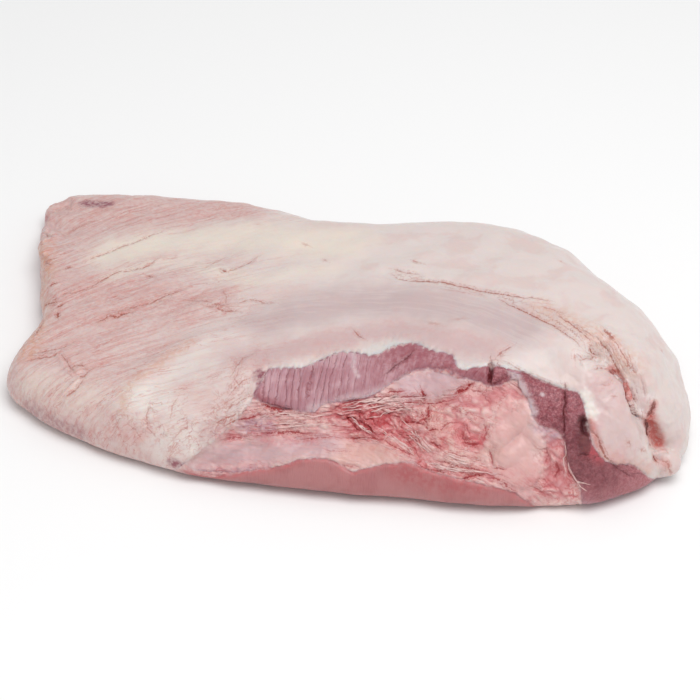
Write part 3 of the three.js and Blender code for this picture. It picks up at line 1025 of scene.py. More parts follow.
@dataclass
class SheetCut:
    """The sheet under one layer, as a closed block of everything above it."""

    layer: Layer
    top: float = 160.0
    fine_step: float = 1.5
    coarse_step: float = 4.0
    fine_span: tuple[float, float] = (-112.0, 205.0)
    whole_span: tuple[float, float] = (-282.0, 264.0)
    row_breaks: Path = ((-90, 30), (-30, 8), (-14, 1.3), (14, 8), (38, 10), (348, 0))

    def block(self) -> Object:
        """Makes the block."""
        xs = self._lines(((self.whole_span[0], self.coarse_step), (self.fine_span[0], self.fine_step),
                          (self.fine_span[1], self.coarse_step), (self.whole_span[1], 0)))
        offsets = self._lines(self.row_breaks)
        edge_y = FORM.edges[self.layer][0]
        x = np.repeat(xs, len(offsets))
        y = edge_y(x) + np.tile(offsets, len(xs))
        low = np.column_stack([x, y, FORM.sheet(self.layer, x, y)])
        high = np.column_stack([x, y, np.full(len(x), self.top)])
        rows, count = len(offsets), len(x)
        i, j = (v.ravel() for v in np.meshgrid(np.arange(len(xs) - 1), np.arange(rows - 1), indexing="ij"))
        a = i * rows + j
        floor = np.stack([a, a + 1, a + rows + 1, a + rows], -1)
        roof = np.stack([a, a + rows, a + rows + 1, a + 1], -1) + count
        first, last = np.arange(rows - 1), (len(xs) - 1) * rows + np.arange(rows - 1)
        near, far = np.arange(len(xs) - 1) * rows, np.arange(len(xs) - 1) * rows + rows - 1
        walls = [
            np.stack([first + 1, first, first + count, first + 1 + count], -1),
            np.stack([last, last + 1, last + 1 + count, last + count], -1),
            np.stack([near, near + rows, near + rows + count, near + count], -1),
            np.stack([far + rows, far, far + count, far + rows + count], -1),
        ]
        faces = np.vstack([floor, roof, *walls])
        return linked_mesh(f"above_{self.layer.value}", np.vstack([low, high]), faces)

    @staticmethod
    def _lines(breaks: Sequence[tuple[float, float]]) -> Array:
        """Places along one axis whose step changes at the given breaks."""
        lines = [np.linspace(a, b, max(round((b - a) / step), 1), endpoint=False)
                 for (a, step), (b, _) in zip(breaks[:-1], breaks[1:])]
        return np.concatenate([*lines, [breaks[-1][0]]])


# ------------------------------ what the photo shows


def read_rows(table: str) -> list[tuple[list[str], Path]]:
    """Reads a table of lines over the photograph.

    Args:
        table: Rows of words, a bar and pixels, such as "name 1.5 | 10,20 30,40"; without a bar a row
            is a remark.

    Returns:
        The words and the pixels of each row.
    """
    halves = (row.split("|") for row in table.splitlines() if "|" in row)
    return [(words.split(), [tuple(map(float, pixel.split(","))) for pixel in pixels.split()])
            for words, pixels in halves]


def read_strokes(table: str) -> tuple[Stroke, ...]:
    """Strokes from rows of ink, ink width, and depth and width where they aren't the usual ones."""
    return tuple(Stroke(pixels, *map(float, sizes)) for sizes, pixels in read_rows(table))


def read_patches(table: str) -> dict[str, Patch]:
    """Patches from rows of a name, radius, softness, a bar and pixels."""
    return {name: Patch(pixels, float(radius), float(soft))
            for (name, radius, soft), pixels in read_rows(table)}


STREAKS_OF_THE_FLAT_END = read_strokes("""
    0.9 0.7 0.5 | 97,321 103,319 108,316
    0.9 0.8 0.6 | 108,315 117,317 122,314 129,313
    0.5 0.6 0.3 | 112,310 122,311 134,307 150,303 168,299
    0.7 0.6 0.4 | 140,305 150,303 160,298 170,294 184,290
    0.55 0.6 0.3 | 84,262 96,256 108,252 118,248 132,244 150,236 165,231
    0.65 0.6 0.4 | 88,289 98,283 108,277 118,272 132,270 143,268 151,264 157,259
    1 0.9 0.5 | 50,286 56,283
    0.9 0.6 0.4 | 44,306 52,303 60,301
    1 0.9 0.5 | 56,308 63,304
    1 0.9 0.6 | 57,312 58,317
    0.5 0.5 0.3 | 52,298 70,293 88,289
    0.7 0.8 0.3 | 64,269 72,266
    0.8 0.9 0.4 | 148,276 153,277
    1 1.1 0.4 | 222,270 226,272
    0.35 0.6 | 205,268 214,262 224,258
    0.55 0.6 0.3 | 226,272 238,268 250,263 258,257
    0.4 0.7 | 222,290 226,296 225,304
    0.6 0.6 0.3 | 186,299 205,301 222,305 234,303
    0.6 1.1 0.4 | 206,306 216,307 224,311 237,311
    0.55 0.5 0.3 | 234,303 250,299 262,302 275,303
    0.6 0.6 0.5 | 26,361 38,358 52,356 60,354
    0.6 0.6 0.5 | 36,353 52,350 64,347 73,342
    0.6 0.9 0.4 | 34,336 39,328 43,320
    0.5 0.7 0.5 | 44,262 50,259 57,257
    0.35 1.4 | 70,232 80,227 90,222 97,220
    0.2 1.6 | 100,212 120,208 140,205
    ridges of the small oval bump:
    0 0.7 -1.5 1.7 | 56,353 62,361 67,369 74,376 80,378
    0 0.7 -1.3 1.6 | 80,378 73,386 66,393 61,398
    0.6 0.5 0.6 1 | 60,353 66,360 71,368 74,372
    0.6 0.5 0.6 1 | 83,380 76,389 67,397
    0.6 0.5 0.7 1 | 70,369 75,365 82,365 88,370 84,376 77,377 71,373 70,369
    0 0.7 -1.6 4 | 75,371 83,371
    the notched left edge and its lobes:
    0.5 0.8 4.5 2.6 | 51,235 43,233
    0 0.7 -4.5 6.5 | 46,241 43,248 46,255
    0.4 0.8 1.4 2.4 | 52,264 44,262
    0 0.7 6 11 | 49,212 56,205 64,200 72,199
    thin wrinkles beside the end of the upper muscle:
    0.45 0.5 0.3 | 254,352 244,358 236,366 231,376
    0.5 0.5 0.3 | 252,378 244,380 236,386 229,396
    0.5 0.5 0.3 | 254,396 242,400 232,406 224,414
    0.6 0.6 0.4 | 262,408 246,411 232,416 214,424
    0.35 0.5 | 240,368 234,380 226,392
    0.35 0.5 | 246,388 240,394 228,402 216,408
    0.3 0.5 | 178,396 172,408 170,420
    0.4 0.5 0.3 | 150,405 146,416 148,428 156,438
    0.3 0.6 | 128,424 136,430 142,440
    0.35 0.6 | 190,425 180,431 172,440
""")

EDGES_OF_THE_OVERLAPS = read_strokes("""
    0.5 0.6 0.5 | 393,269 402,271 418,274
    0.75 0.6 0.8 | 394,275 398,279 420,281 444,282 462,286 478,290 500,294 524,297 548,300
    0.35 0.5 | 440,288 458,291 476,295
    0.75 0.6 0.8 | 500,300 512,306 524,311 536,317 552,324 566,333 580,345
    0.6 0.6 0.5 | 556,314 568,321 582,333 592,343
    0.4 0.5 | 540,306 552,309 564,312
    0.45 0.5 0.3 | 574,322 586,331 594,338
    0.7 0.7 0.7 | 596,336 604,346 611,357 617,369 623,378
    0.75 1.4 0.6 | 604,328 609,334 614,340
    0.6 0.6 0.5 | 614,340 621,351 628,362 632,372
    0.4 0.5 0.3 | 606,340 613,350 620,362 627,374
    0.4 0.5 0.3 | 628,352 631,362 636,374
    0.9 0.6 0.6 | 590,345 592,352 595,355 599,355
    0.5 0.7 | 574,354 575,360
    0.6 0.5 0.7 | 577,354 583,358 592,359 598,356
    0.55 0.6 0.6 | 595,369 604,368 609,370
    0 0.7 -2 3.6 | 582,364 593,364 604,361
    0.7 0.6 | 413,260 417,262 422,263
    0.6 0.6 0.4 | 354,330 358,335 364,338
    0.6 0.5 0.6 | 497,357 502,351 512,346
    0.3 1.1 | 303,243 309,246
    0.35 0.9 | 324,259 327,261
    0.25 1.1 | 454,320 464,319
    0.25 1.2 | 428,322 440,325
    0.4 0.9 | 560,261 562,262
    0.5 0.9 | 661,350 662,352
""")

FOLDS_OF_THE_POINT_END = read_strokes("""
    the deep crease, the tongue of fat beside it, and the pit below that:
    1 1 4 1.3 | 609,371 616,377 622,384 625,391 627,400 631,410 638,417
    0 0.7 2 1.8 | 611,370 619,376 624,383
    0 0.7 -2.4 2.6 | 627,380 627,392 630,404 637,413 645,415 650,408 652,401
    0.9 0.7 1.8 1.3 | 629,387 631,394 635,402
    0.6 0.6 0.4 | 632,369 636,373
    0.25 0.6 0.6 | 641,378 643,388 645,398
    0.8 1.2 2.6 1.8 | 654,402 652,409 647,417
    1 0.9 3 1.7 | 645,419 648,428 650,438 653,447
    0 0.7 3.6 4 | 650,421 654,431 657,440 659,446
    0 0.7 -2.4 2 | 655,454 662,452 669,449
    0.9 0.8 1.4 | 654,456 658,462
    0.5 0.6 0.6 | 660,460 663,466 666,471
    0.5 1.1 | 640,449 645,452
    0.45 1.3 | 627,441 629,446
    0.75 0.7 1.2 | 592,432 597,436 600,446 605,457 612,462
    0.6 0.6 0.9 | 607,459 616,467 624,473 634,478
    0.4 0.5 0.5 | 618,464 628,466 640,470
    0.45 0.5 0.5 | 625,476 634,474 646,474
    0.25 0.6 0.5 | 600,385 607,386 612,380
    0.35 0.6 | 610,397 617,396
    the pale lobe that hangs over the foot:
    0 0.7 -6.5 12 | 661,466 670,462 675,454
""")

CUTS_OF_THE_POINT = read_strokes("""
    0.8 0.5 0.9 | 414,350 407,357 398,364 386,373
    1.3 1.5 5 1.6 | 491,362 491,368 490,376 489,384
    0.7 0.7 1 | 488,384 496,384 502,380
    1 0.7 1.8 | 565,385 565,398 564,414 564,432
    0.3 0.7 0.8 | 564,432 565,446 564,458 566,468
    0 0.7 4 2.8 | 584,419 586,427 586,436
    1.2 0.8 1.8 | 262,405 272,408 281,409 291,410
    0.9 0.6 0.6 | 276,412 284,411
    0.5 0.6 0.6 | 503,361 520,370 540,380 562,388
    0.7 0.7 0.6 | 578,456 584,454 590,455
    0.6 0.6 0.4 | 583,461 592,459 601,456
    0.6 0.7 0.5 | 570,470 576,478 584,484
""")

CREASES_OF_THE_SEAM = read_strokes("""
    1.1 0.7 1.4 | 429,405 428,414 427,424 427,431
    0.9 0.6 0.7 | 427,431 432,429 438,430
    0.7 0.6 1 | 346,401 360,400 374,399 388,397 398,399 412,397 424,397
    0.7 0.6 0.8 | 332,410 342,404 352,402 366,402 380,401
    0.9 0.5 0.9 | 400,404 410,402 424,404 440,402 456,399
    1 0.7 1.2 | 345,415 350,421 355,428 361,432
    0.9 0.6 1 | 358,420 366,424 371,428 371,432
    0.9 0.6 0.9 | 366,419 372,418 375,423 378,426
    0.6 0.5 0.7 | 374,416 382,413 394,412 402,406
    0.6 0.5 0.7 | 352,412 364,413 374,408 386,404
    1 0.7 1.1 | 400,420 408,422 418,423 425,426
    0.8 0.6 0.6 | 418,421 424,419 428,424
    0.8 0.6 0.7 | 386,393 390,391 404,392
    1.2 0.9 1.2 | 422,392 424,397 424,400
    1.1 0.8 1.2 | 455,394 462,390 470,385 473,383
    0.5 0.6 0.6 | 470,390 480,392 486,396
    0.5 0.5 0.6 | 486,390 486,398 490,404
    0.8 0.6 0.7 | 344,437 356,439 372,438 384,440
    0.7 0.6 0.7 | 384,440 394,447 404,451 414,456
    0.6 0.5 0.6 | 398,432 408,441 416,450 420,458
    0.8 0.7 0.8 | 430,440 436,445 442,450
    0.5 0.5 0.5 | 444,452 456,455 470,458
    0.6 0.6 0.7 | 436,460 450,464 466,468 484,470
    0.7 0.6 0.7 | 416,462 424,468 436,471 452,473
    0.6 0.5 0.6 | 440,468 458,472 476,474 492,473
    1.1 0.7 1 | 461,480 468,477 476,475 484,475
    0.7 0.6 0.7 | 490,450 492,456 493,464
    0.7 0.6 0.6 | 494,469 500,468 506,470
    0.7 0.6 0.6 | 486,477 496,480 506,485 514,490
    0.6 0.6 0.6 | 438,434 444,426 450,422 458,422
    0.9 1.1 0.6 | 463,432 463,438 468,444 480,444
    0.5 0.6 0.5 | 466,424 468,430 470,436
    0.5 0.7 0.5 | 484,424 486,434 482,442
    0.7 0.6 0.8 | 566,448 565,462 569,474 576,484
    0.7 0.8 0.8 | 556,462 558,470 554,478
    0.5 0.5 0.6 | 534,476 544,480 552,488
    0.5 0.5 0.6 | 526,482 538,490 552,496
    0.5 0.6 0.6 | 546,446 548,456 544,464
    0.8 0.6 0.5 | 225,425 236,421 250,418 262,414
    0.7 0.5 0.5 | 262,414 280,415 300,415 318,416 334,414
    0.8 0.8 0.6 | 250,433 270,433 290,432 312,433
    0.4 0.5 0.3 | 262,424 286,425 312,423
    0.5 0.5 0.4 | 300,440 322,437 344,438
    0.6 0.8 0.4 | 216,442 230,438 246,437
    0.4 0.5 0.4 | 340,464 348,467 356,466
    0.3 0.5 | 322,449 336,452 350,452
""")

STROKES = (STREAKS_OF_THE_FLAT_END + EDGES_OF_THE_OVERLAPS + FOLDS_OF_THE_POINT_END + CUTS_OF_THE_POINT
           + CREASES_OF_THE_SEAM)


# ------------------------------ what covers the layers


class Drift:
    """Lines that drift across the meat as they run along it."""

    def __init__(self, slopes: Sequence[tuple[float, float]]) -> None:
        """Args:
            slopes: How steeply the lines run, as (x, slope) in rising order.
        """
        self.x = np.arange(-290.0, 271.0)
        slope = np.interp(self.x, *np.array(slopes).T)
        total = np.cumsum(slope)
        self.shift = total - np.interp(0.0, self.x, total)

    def __call__(self, x: Array) -> Array:
        """How far the lines have drifted at each x."""
        return np.interp(x, self.x, self.shift)


CAP_DRIFT = Drift(((-210, 1.0), (-180, 0.7), (-150, 0.5), (-110, 0.35), (-60, 0.25), (0, 0.0), (40, -0.15),
                   (90, -0.4), (130, -0.55), (170, -0.7), (220, -1.2)))
SEAM_DRIFT = Drift(((-90, -0.05), (-20, 0.02), (10, 0.1), (40, -0.35), (80, -0.4), (120, -0.3), (160, -0.9)))


class Covering:
    """What one layer adds to the skin where it shows."""

    layer: Layer
    slot: str
    patches: dict[str, Patch] = {}

    def spot(self, spotter: Spotter) -> None:
        """Lays the patches over the meat."""
        self.placed = {name: patch.trace(spotter) for name, patch in self.patches.items()}

    def on(self, name: str, ground: Ground) -> Array:
        """How far each point belongs to a named patch."""
        return self.placed[name].share(ground.p)

    def most(self, ground: Ground, **weights: float) -> Array:
        """The sum of some weighted patches, 1 at most."""
        return np.clip(sum(w * self.on(name, ground) for name, w in weights.items()), 0, 1)

    def relief(self, ground: Ground) -> Array:
        """How far the layer moves each point outwards."""
        return np.zeros(len(ground.p))

    def masks(self, ground: Ground) -> dict[str, Array]:
        """Names and values of what the layer's look reads."""
        return {}


@dataclass
class FatCap(Covering):
    """The fat over the top: cream in the middle, streaked with pink, folded over at the point end."""

    layer: Layer = Layer.FAT_CAP
    slot: str = "cap_fat"
    broad_swing: float = 0.9
    small_swing: float = 0.35
    streak_depth: float = 0.5
    wrinkle_depth: float = 0.6
    edge_lip: float = 0.5

    patches: dict[str, Patch] = field(default_factory=lambda: read_patches("""
        cream 23 0.8 | 118,252 170,242 230,236 300,240 345,244
        cream_low 9 0.9 | 112,276 150,262 190,262 250,282 330,268
        membrane 20 0.9 | 262,322 330,304 400,300 470,310 520,326
        over_muscle 10 0.9 | 232,350 262,356 300,346 345,336 395,328 445,338 490,348
        ridge 12 0.8 | 140,394 160,382 180,368 205,354 236,342
        ridge_shade 5 0.9 | 123,408 124,394 132,381 150,370 170,355 190,343
        lobe 12 0.9 | 30,382 60,390 88,396
        spot 5.4 0.5 | 86,203 97,204 107,204
        far_pink 13 0.9 | 60,206 100,212 150,208 210,206 255,210
        end_glow 8 0.9 | 44,222 44,250 46,275 42,300 36,330 28,352
        low_tint 6 0.9 | 28,408 52,422 80,434
        low_strip 3.4 0.6 | 172,463 190,470 208,474
        low_red 8 0.9 | 212,436 232,432 252,436
        blotch 5 0.9 | 210,307 226,310
        streaky 22 0.9 | 60,296 110,300 160,308 215,300
        wrinkled 20 0.8 | 140,420 180,430 215,420 238,390 246,365
        low_pale 14 0.9 | 128,400 160,404 190,446 165,440
        pit 4.2 1 | 650,420 654,432 659,444
        wedge 3 0.7 | 611,370 618,377 624,386 627,396
        muscle_end 4.4 0.4 | 260,375 263,383
        rim 2.6 0.9 | 590,420 594,434 598,446
        notch 2.6 0.8 | 654,404 651,414
        under_lip 3 0.9 | 655,458 662,464
        tongue 7 0.7 | 638,380 640,398 643,410
        crease_glow 9 0.9 | 540,308 575,322 600,336 618,352 632,366
        inner 17 0.7 | 606,402 612,424 618,442
        inner_foot 6 0.9 | 606,458 624,464 645,470
        white 4.5 0.6 | 585,396 588,406 591,415
        right_wall 9 0.9 | 676,400 681,430 678,455
    """))

    def _flow(self, ground: Ground) -> Array:
        """Coordinates along and across the drift of the fat."""
        return np.column_stack([ground.x, ground.y - CAP_DRIFT(ground.x), ground.z * 0.8])

    def relief(self, ground: Ground) -> Array:
        """Soft swells, furrowed streaks, wrinkles and folds, and the lip over the muscles."""
        p, flow = ground.p, self._flow(ground)
        near_end = smooth(ground.x, 0, -140)
        total = self.broad_swing * Noise(3).fractal(p / 48, 2)
        total += self.small_swing * Noise(4).fractal(p / 13, 2)
        bent = Noise(5).warp(flow / np.array([60.0, 7.5, 12.0]), 0.35)
        crest = smooth(Noise(6).ridged(bent, 2), 0.62, 0.97)
        total -= self.streak_depth * crest * mix(0.3, 1.0, near_end) * (1 - 0.8 * self.on("cream", ground))
        wrinkled = self.most(ground, wrinkled=1.0, low_tint=0.7)
        total += self.wrinkle_depth * wrinkled * Noise(7).fractal(flow / np.array([9.0, 4.5, 4.5]), 2)
        point_end = smooth(ground.x, 150, 190) * smooth(ground.y, 0, -40)
        total += 1.1 * point_end * Noise(8).fractal(p / 11, 3) + 1.6 * self.on("inner", ground)
        total += 0.6 * self.on("inner_foot", ground) * Noise(9).fractal(p / 3.5, 2)
        over = ground.above[Layer.FAT_CAP]
        on_wall = smooth(ground.x, -70, -50) * smooth(ground.y, -40, -60) * smooth(ground.z, 8, 20)
        total += self.edge_lip * on_wall * (bump(over - 3.5, 3.5) - 0.8 * bump(over, 1.5))
        return total

    def masks(self, ground: Ground) -> dict[str, Array]:
        """Where the fat is cream, pink, filmed over, raw or tinted by lean, and where shade is painted beside
        the pale ridge.
        """
        on = {name: self.on(name, ground) for name in self.patches}
        cream = np.maximum(on["cream"], 0.75 * on["cream_low"])
        end_pink = smooth(ground.x, -50, -170) * (1 - cream)
        pink = 0.8 * end_pink + 0.85 * on["far_pink"] + 0.45 * on["streaky"] + 0.25 * on["wrinkled"]
        # painted shade: the ridge_shade share pinks the soft groove left of the pale ridge
        pink += 0.75 * on["over_muscle"] + 0.3 * on["ridge_shade"]
        pink = np.clip(pink, 0, 1) * (1 - 0.9 * on["ridge"]) * (1 - 0.45 * on["lobe"])
        pink *= 1 - 0.5 * on["low_pale"]
        streaks = smooth(ground.x, 20, -150) * (1 - 0.8 * on["cream"]) + 0.4 * on["crease_glow"]
        return {
            "cream": np.maximum(cream, 0.55 * on["lobe"]),
            "pink": np.maximum(pink, 0.9 * on["blotch"]),
            "film": np.maximum(on["membrane"], 0.75 * on["over_muscle"]),
            "flushed": self.most(ground, inner=0.8, inner_foot=0.6, tongue=0.3, right_wall=0.12,
                                 over_muscle=0.3),
            "lean_tint": self.most(ground, spot=1.0, muscle_end=1.0, low_tint=0.5, low_red=0.35,
                                   low_strip=1.0),
            # warm tint at the left end, round the point-end crease and on the inner foot, and painted shade
            # in the groove left of the pale ridge
            "warm": self.most(ground, end_glow=0.8, crease_glow=0.5, inner_foot=0.4, ridge_shade=0.5),
            "raw": self.most(ground, pit=1.0, wedge=0.9, notch=0.5, under_lip=0.4, low_red=0.1, rim=0.6),
            "streaks": np.clip(streaks, 0, 1),
            "wrinkles": self.most(ground, wrinkled=0.8, streaky=0.5, low_pale=0.3, inner_foot=0.6,
                                  low_red=0.8),
            "whitish": self.most(ground, white=1.0, ridge=0.35, low_pale=0.6),
            "flow": self._flow(ground),
        }


@dataclass
class PointMuscle(Covering):
    """The cut point muscle: fibre bundles at the flat side, a granular block at the point end."""

    layer: Layer = Layer.POINT
    slot: str = "point_lean"
    groove: float = 1.1
    fibre_depth: float = 0.15
    grain_depth: float = 0.35

    patches: dict[str, Patch] = field(default_factory=lambda: read_patches("""
        block 22 0.3 | 534,386 550,402 572,410 578,440
        bit 9 0.4 | 502,368 503,380
        foot 17 0.5 | 580,470 605,480 640,482
        dark 13 0.9 | 574,440 580,468 594,474 606,477
        tissue 5 0.8 | 592,451 600,455
        gel 3.8 0.5 | 584,439 585,447
        hollow 3.4 0.6 | 583,420 584,431
        gap 3.6 0.6 | 513,370 517,380 523,390 528,402 533,412
        dot 1.2 0.5 | 542,394 543,395
        plain 15 0.8 | 365,375 385,368 400,362
        septum 1.5 0.9 | 354,350 354,358 353,366 358,376
        ruddy 16 0.9 | 395,356 420,352 450,362 476,372
        fuzz 3.8 0.9 | 312,410 330,406 348,400 370,396 392,388
        strip 4 0.9 | 258,384 262,398 276,407
    """))

    def relief(self, ground: Ground) -> Array:
        """Bundles that run up the wall, split by grooves, and a granular cut face."""
        block = self.most(ground, block=1.0, foot=1.0, bit=1.0)
        between = np.abs(np.sin(math.pi * ground.phase))
        uneven = Noise(12).smooth(lane(ground.phase * 0.7, ground.up_wall / 30))
        depth = mix(0.4, 1.0, smooth(uneven, -0.5, 0.5))
        fade = mix(1.0, 0.35, smooth(ground.x, -5, 40)) * (1 - block)
        fade *= mix(1.0, 0.4, self.on("plain", ground))
        total = -self.groove * depth * fade * (1 - between) ** 2.4
        total += 0.45 * fade * Noise(13).smooth(lane(ground.lean / 8, ground.up_wall / 12))
        fibre = lane(ground.lean / 1.3, ground.up_wall / 14)
        total += self.fibre_depth * (1 - block) * Noise(14).fractal(fibre, 2)
        total += self.grain_depth * block * Noise(15).fractal(ground.p / 2.1, 3, 0.6)
        total += 0.6 * Noise(16).fractal(ground.p / 15, 2) + 3.0 * self.on("gel", ground)
        total += 1.4 * self.on("gap", ground)
        return total - 0.9 * bump(ground.above[Layer.POINT], 1.4) * (1 - block)

    def masks(self, ground: Ground) -> dict[str, Array]:
        """Where the muscle is cut, dark, ruddy or under a film, where the pocket's shade is painted, and how
        its bundles run.
        """
        block = self.most(ground, block=1.0, foot=0.7, bit=0.8)
        tied = mix(1.0, 0.25, smooth(ground.x, 0, 45)) + 0.5 * smooth(ground.x, 62, 78)
        return {
            "block": block,
            "foot": self.on("foot", ground),
            # the hollow is a pocket, painted dark as its shade; the gel lump below it is dark itself
            "dark_lean": self.most(ground, dark=0.9, hollow=1.0),
            "hollow": self.most(ground, hollow=1.0, gel=0.45),
            "gel": self.on("gel", ground),
            "tissue": self.on("tissue", ground),
            "ruddy": self.most(ground, ruddy=0.9, strip=0.8),
            "veiled": self.most(ground, septum=0.85, gap=1.0, fuzz=0.75, dot=1.0),
            "across": ground.lean,
            "up": ground.up_wall,
            "bundle": ground.phase,
            "tied": np.clip(tied, 0, 1) * (1 - block),
        }


@dataclass
class SeamFat(Covering):
    """The torn seam between the muscles: folded sinews, red valleys, lobules and smooth films."""

    layer: Layer = Layer.SEAM
    slot: str = "torn_fat"
    strand: tuple[float, float] = (15.0, 4.2)
    strand_height: float = 2.0
    thread: tuple[float, float] = (7.0, 2.1)
    thread_height: float = 0.8
    lobule: tuple[float, float, float] = (12.0, 9.0, 8.0)
    lobule_height: float = 1.7

    patches: dict[str, Patch] = field(default_factory=lambda: read_patches("""
        silver 8 0.7 | 184,462 222,454 262,452 300,448 330,445
        cream_lobe 8.5 0.7 | 338,452 366,454 392,452
        smooth_lobe 16 0.5 | 514,426 516,448 518,468
        film 9.5 0.5 | 410,386 432,384 452,374
        lilac 6.5 0.7 | 543,424 552,432
        lilac_left 6 0.8 | 248,426 268,427
        knot 14 0.8 | 356,408 382,416 408,424 424,440
        lobed 20 0.7 | 445,410 470,425 488,415
        end_lobes 12 0.6 | 550,450 548,480 562,490
        pale_lobe 8 0.8 | 438,418 448,436
        pale_low 7 0.8 | 452,458 476,462 494,452
        blood 5 0.9 | 464,430 468,440 478,442
        blood_knot 10 0.9 | 376,428 394,434 412,446
        blood_band 5 0.9 | 258,437 285,439 314,438
        lobe_foot 8 0.9 | 500,478 520,480 536,482
        low_edge 3.4 0.6 | 196,473 222,475 250,471
        blood_low 5 0.9 | 426,468 450,474 478,474
        red_end 6 0.9 | 556,456 556,474 530,486
        rosy 9 0.9 | 484,430 492,410 512,398
    """))

    def _pattern(self, ground: Ground) -> dict[str, Array]:
        """The tissue's strands and lobules, which both the relief and the colours follow."""
        across = ground.up_wall - SEAM_DRIFT(ground.x)
        place = np.column_stack([ground.x, across, ground.z * 0 + 7.0])
        knot = self.on("knot", ground)
        curl = Noise(21).warp(place / 13, 1.0) * 13 - place
        curl += 0.6 * (Noise(27).warp(place / 6, 1.0) * 6 - place)
        bent = place + curl * (0.3 + 0.55 * knot)[:, None]
        strand, thread = (Noise(seed).cells(bent / np.array([*size, 50.0])) for seed, size in
                          ((22, self.strand), (23, self.thread)))
        lobule = Noise(24).cells(Noise(25).warp(ground.p / np.array(self.lobule), 0.85))
        calm = self.most(ground, silver=1.0, smooth_lobe=1.0, cream_lobe=0.85, film=1.0)
        lobed = self.most(ground, lobed=1.0, end_lobes=1.0)
        return {"strand": strand, "thread": thread, "lobule": lobule, "calm": calm, "lobed": lobed,
                "knot": knot, "across": across}

    @staticmethod
    def _dome(cells: tuple[Array, Array], edge: float) -> Array:
        """A rounded top on each cell, sharp at its border."""
        middle, border = cells
        return smooth(border, 0, edge) * (1 - 0.5 * np.clip(middle, 0, 1) ** 2)

    def relief(self, ground: Ground) -> Array:
        """Folded strands with sharp valleys, domed lobules, and the big smooth lobe."""
        k = self._pattern(ground)
        rough = 1 - 0.92 * k["calm"]
        strands = self.strand_height * mix(0.45, 1.0, k["knot"]) * (self._dome(k["strand"], 0.4) - 0.5)
        strands += self.thread_height * (self._dome(k["thread"], 0.5) - 0.5)
        lobes = self.lobule_height * (self._dome(k["lobule"], 0.6) - 0.5)
        total = rough * mix(strands, lobes, k["lobed"])
        total += 4.0 * self.on("smooth_lobe", ground) + 1.0 * self.on("cream_lobe", ground)
        total += 2.2 * self.on("film", ground) + 1.2 * self.on("pale_low", ground)
        return total + 0.8 * Noise(26).fractal(ground.p / 9, 3)

    def masks(self, ground: Ground) -> dict[str, Array]:
        """Where the tissue is folded, smooth, filmed over, pale or bloody."""
        k = self._pattern(ground)
        stringy = np.minimum(k["strand"][1], 0.08 + 1.3 * k["thread"][1])
        border = mix(stringy, 0.13 + 1.2 * k["lobule"][1], k["lobed"])
        return {
            "border": border + 0.9 * k["calm"],
            "tangle": np.clip(k["knot"] + 0.55 * k["lobed"] + 0.3, 0, 1) * (1 - 0.9 * k["calm"]),
            "blood": self.most(ground, blood=0.9, blood_knot=0.6, blood_band=0.45, blood_low=0.5, red_end=0.2,
                               smooth_lobe=0.06, rosy=0.4, knot=0.3, lobe_foot=0.3, cream_lobe=0.12),
            "yellowish": self.most(ground, cream_lobe=0.8, smooth_lobe=0.1, pale_lobe=0.7, pale_low=0.6),
            "silver": self.most(ground, silver=1.0, film=0.8),
            "lilac": self.most(ground, lilac=0.9, lilac_left=0.9, film=0.35, low_edge=0.9),
            "calm": k["calm"],
            "crumpled": np.clip(k["lobed"] + 0.4 * k["knot"] + 0.25, 0, 1) * (1 - 0.85 * k["calm"]),
            "strand_flow": lane(ground.x, k["across"]),
        }


@dataclass
class FlatMuscle(Covering):
    """The flat muscle along the foot of the wall: one cut face with a fine upright grain."""

    layer: Layer = Layer.FLAT
    slot: str = "flat_lean"
    grain_depth: float = 0.16

    patches: dict[str, Patch] = field(default_factory=lambda: read_patches("""
        reddish 8 0.9 | 400,470 440,480 480,484
    """))

    def relief(self, ground: Ground) -> Array:
        """A smooth face with shallow waves and an upright grain."""
        grain = lane(ground.x / 1.4, ground.up_wall / 12)
        total = self.grain_depth * Noise(31).fractal(grain, 2) + 0.5 * Noise(32).fractal(ground.p / 20, 3)
        return total - 0.7 * bump(ground.above[Layer.SEAM], 1.2) * smooth(ground.y, -90, -120)

    def masks(self, ground: Ground) -> dict[str, Array]:
        """Where the muscle is redder, and where it meets the seam."""
        rim = bump(ground.above[Layer.SEAM], 2.2)
        return {"flat_rim": rim, "reddish": self.on("reddish", ground), "flat_up": ground.up_wall}


# ------------------------------ node trees


Socket = bpy.types.NodeSocket
Colour = tuple[float, float, float]


def paint(red: int, green: int, blue: int) -> tuple[float, float, float, float]:
    """A colour as a shader takes it, from its screen values of 0 to 255."""
    def linear(v: float) -> float:
        """One screen value of 0 to 1 as an amount of light."""
        return v / 12.92 if v <= 0.04045 else ((v + 0.055) / 1.055) ** 2.4

    return (*(linear(v / 255) for v in (red, green, blue)), 1.0)


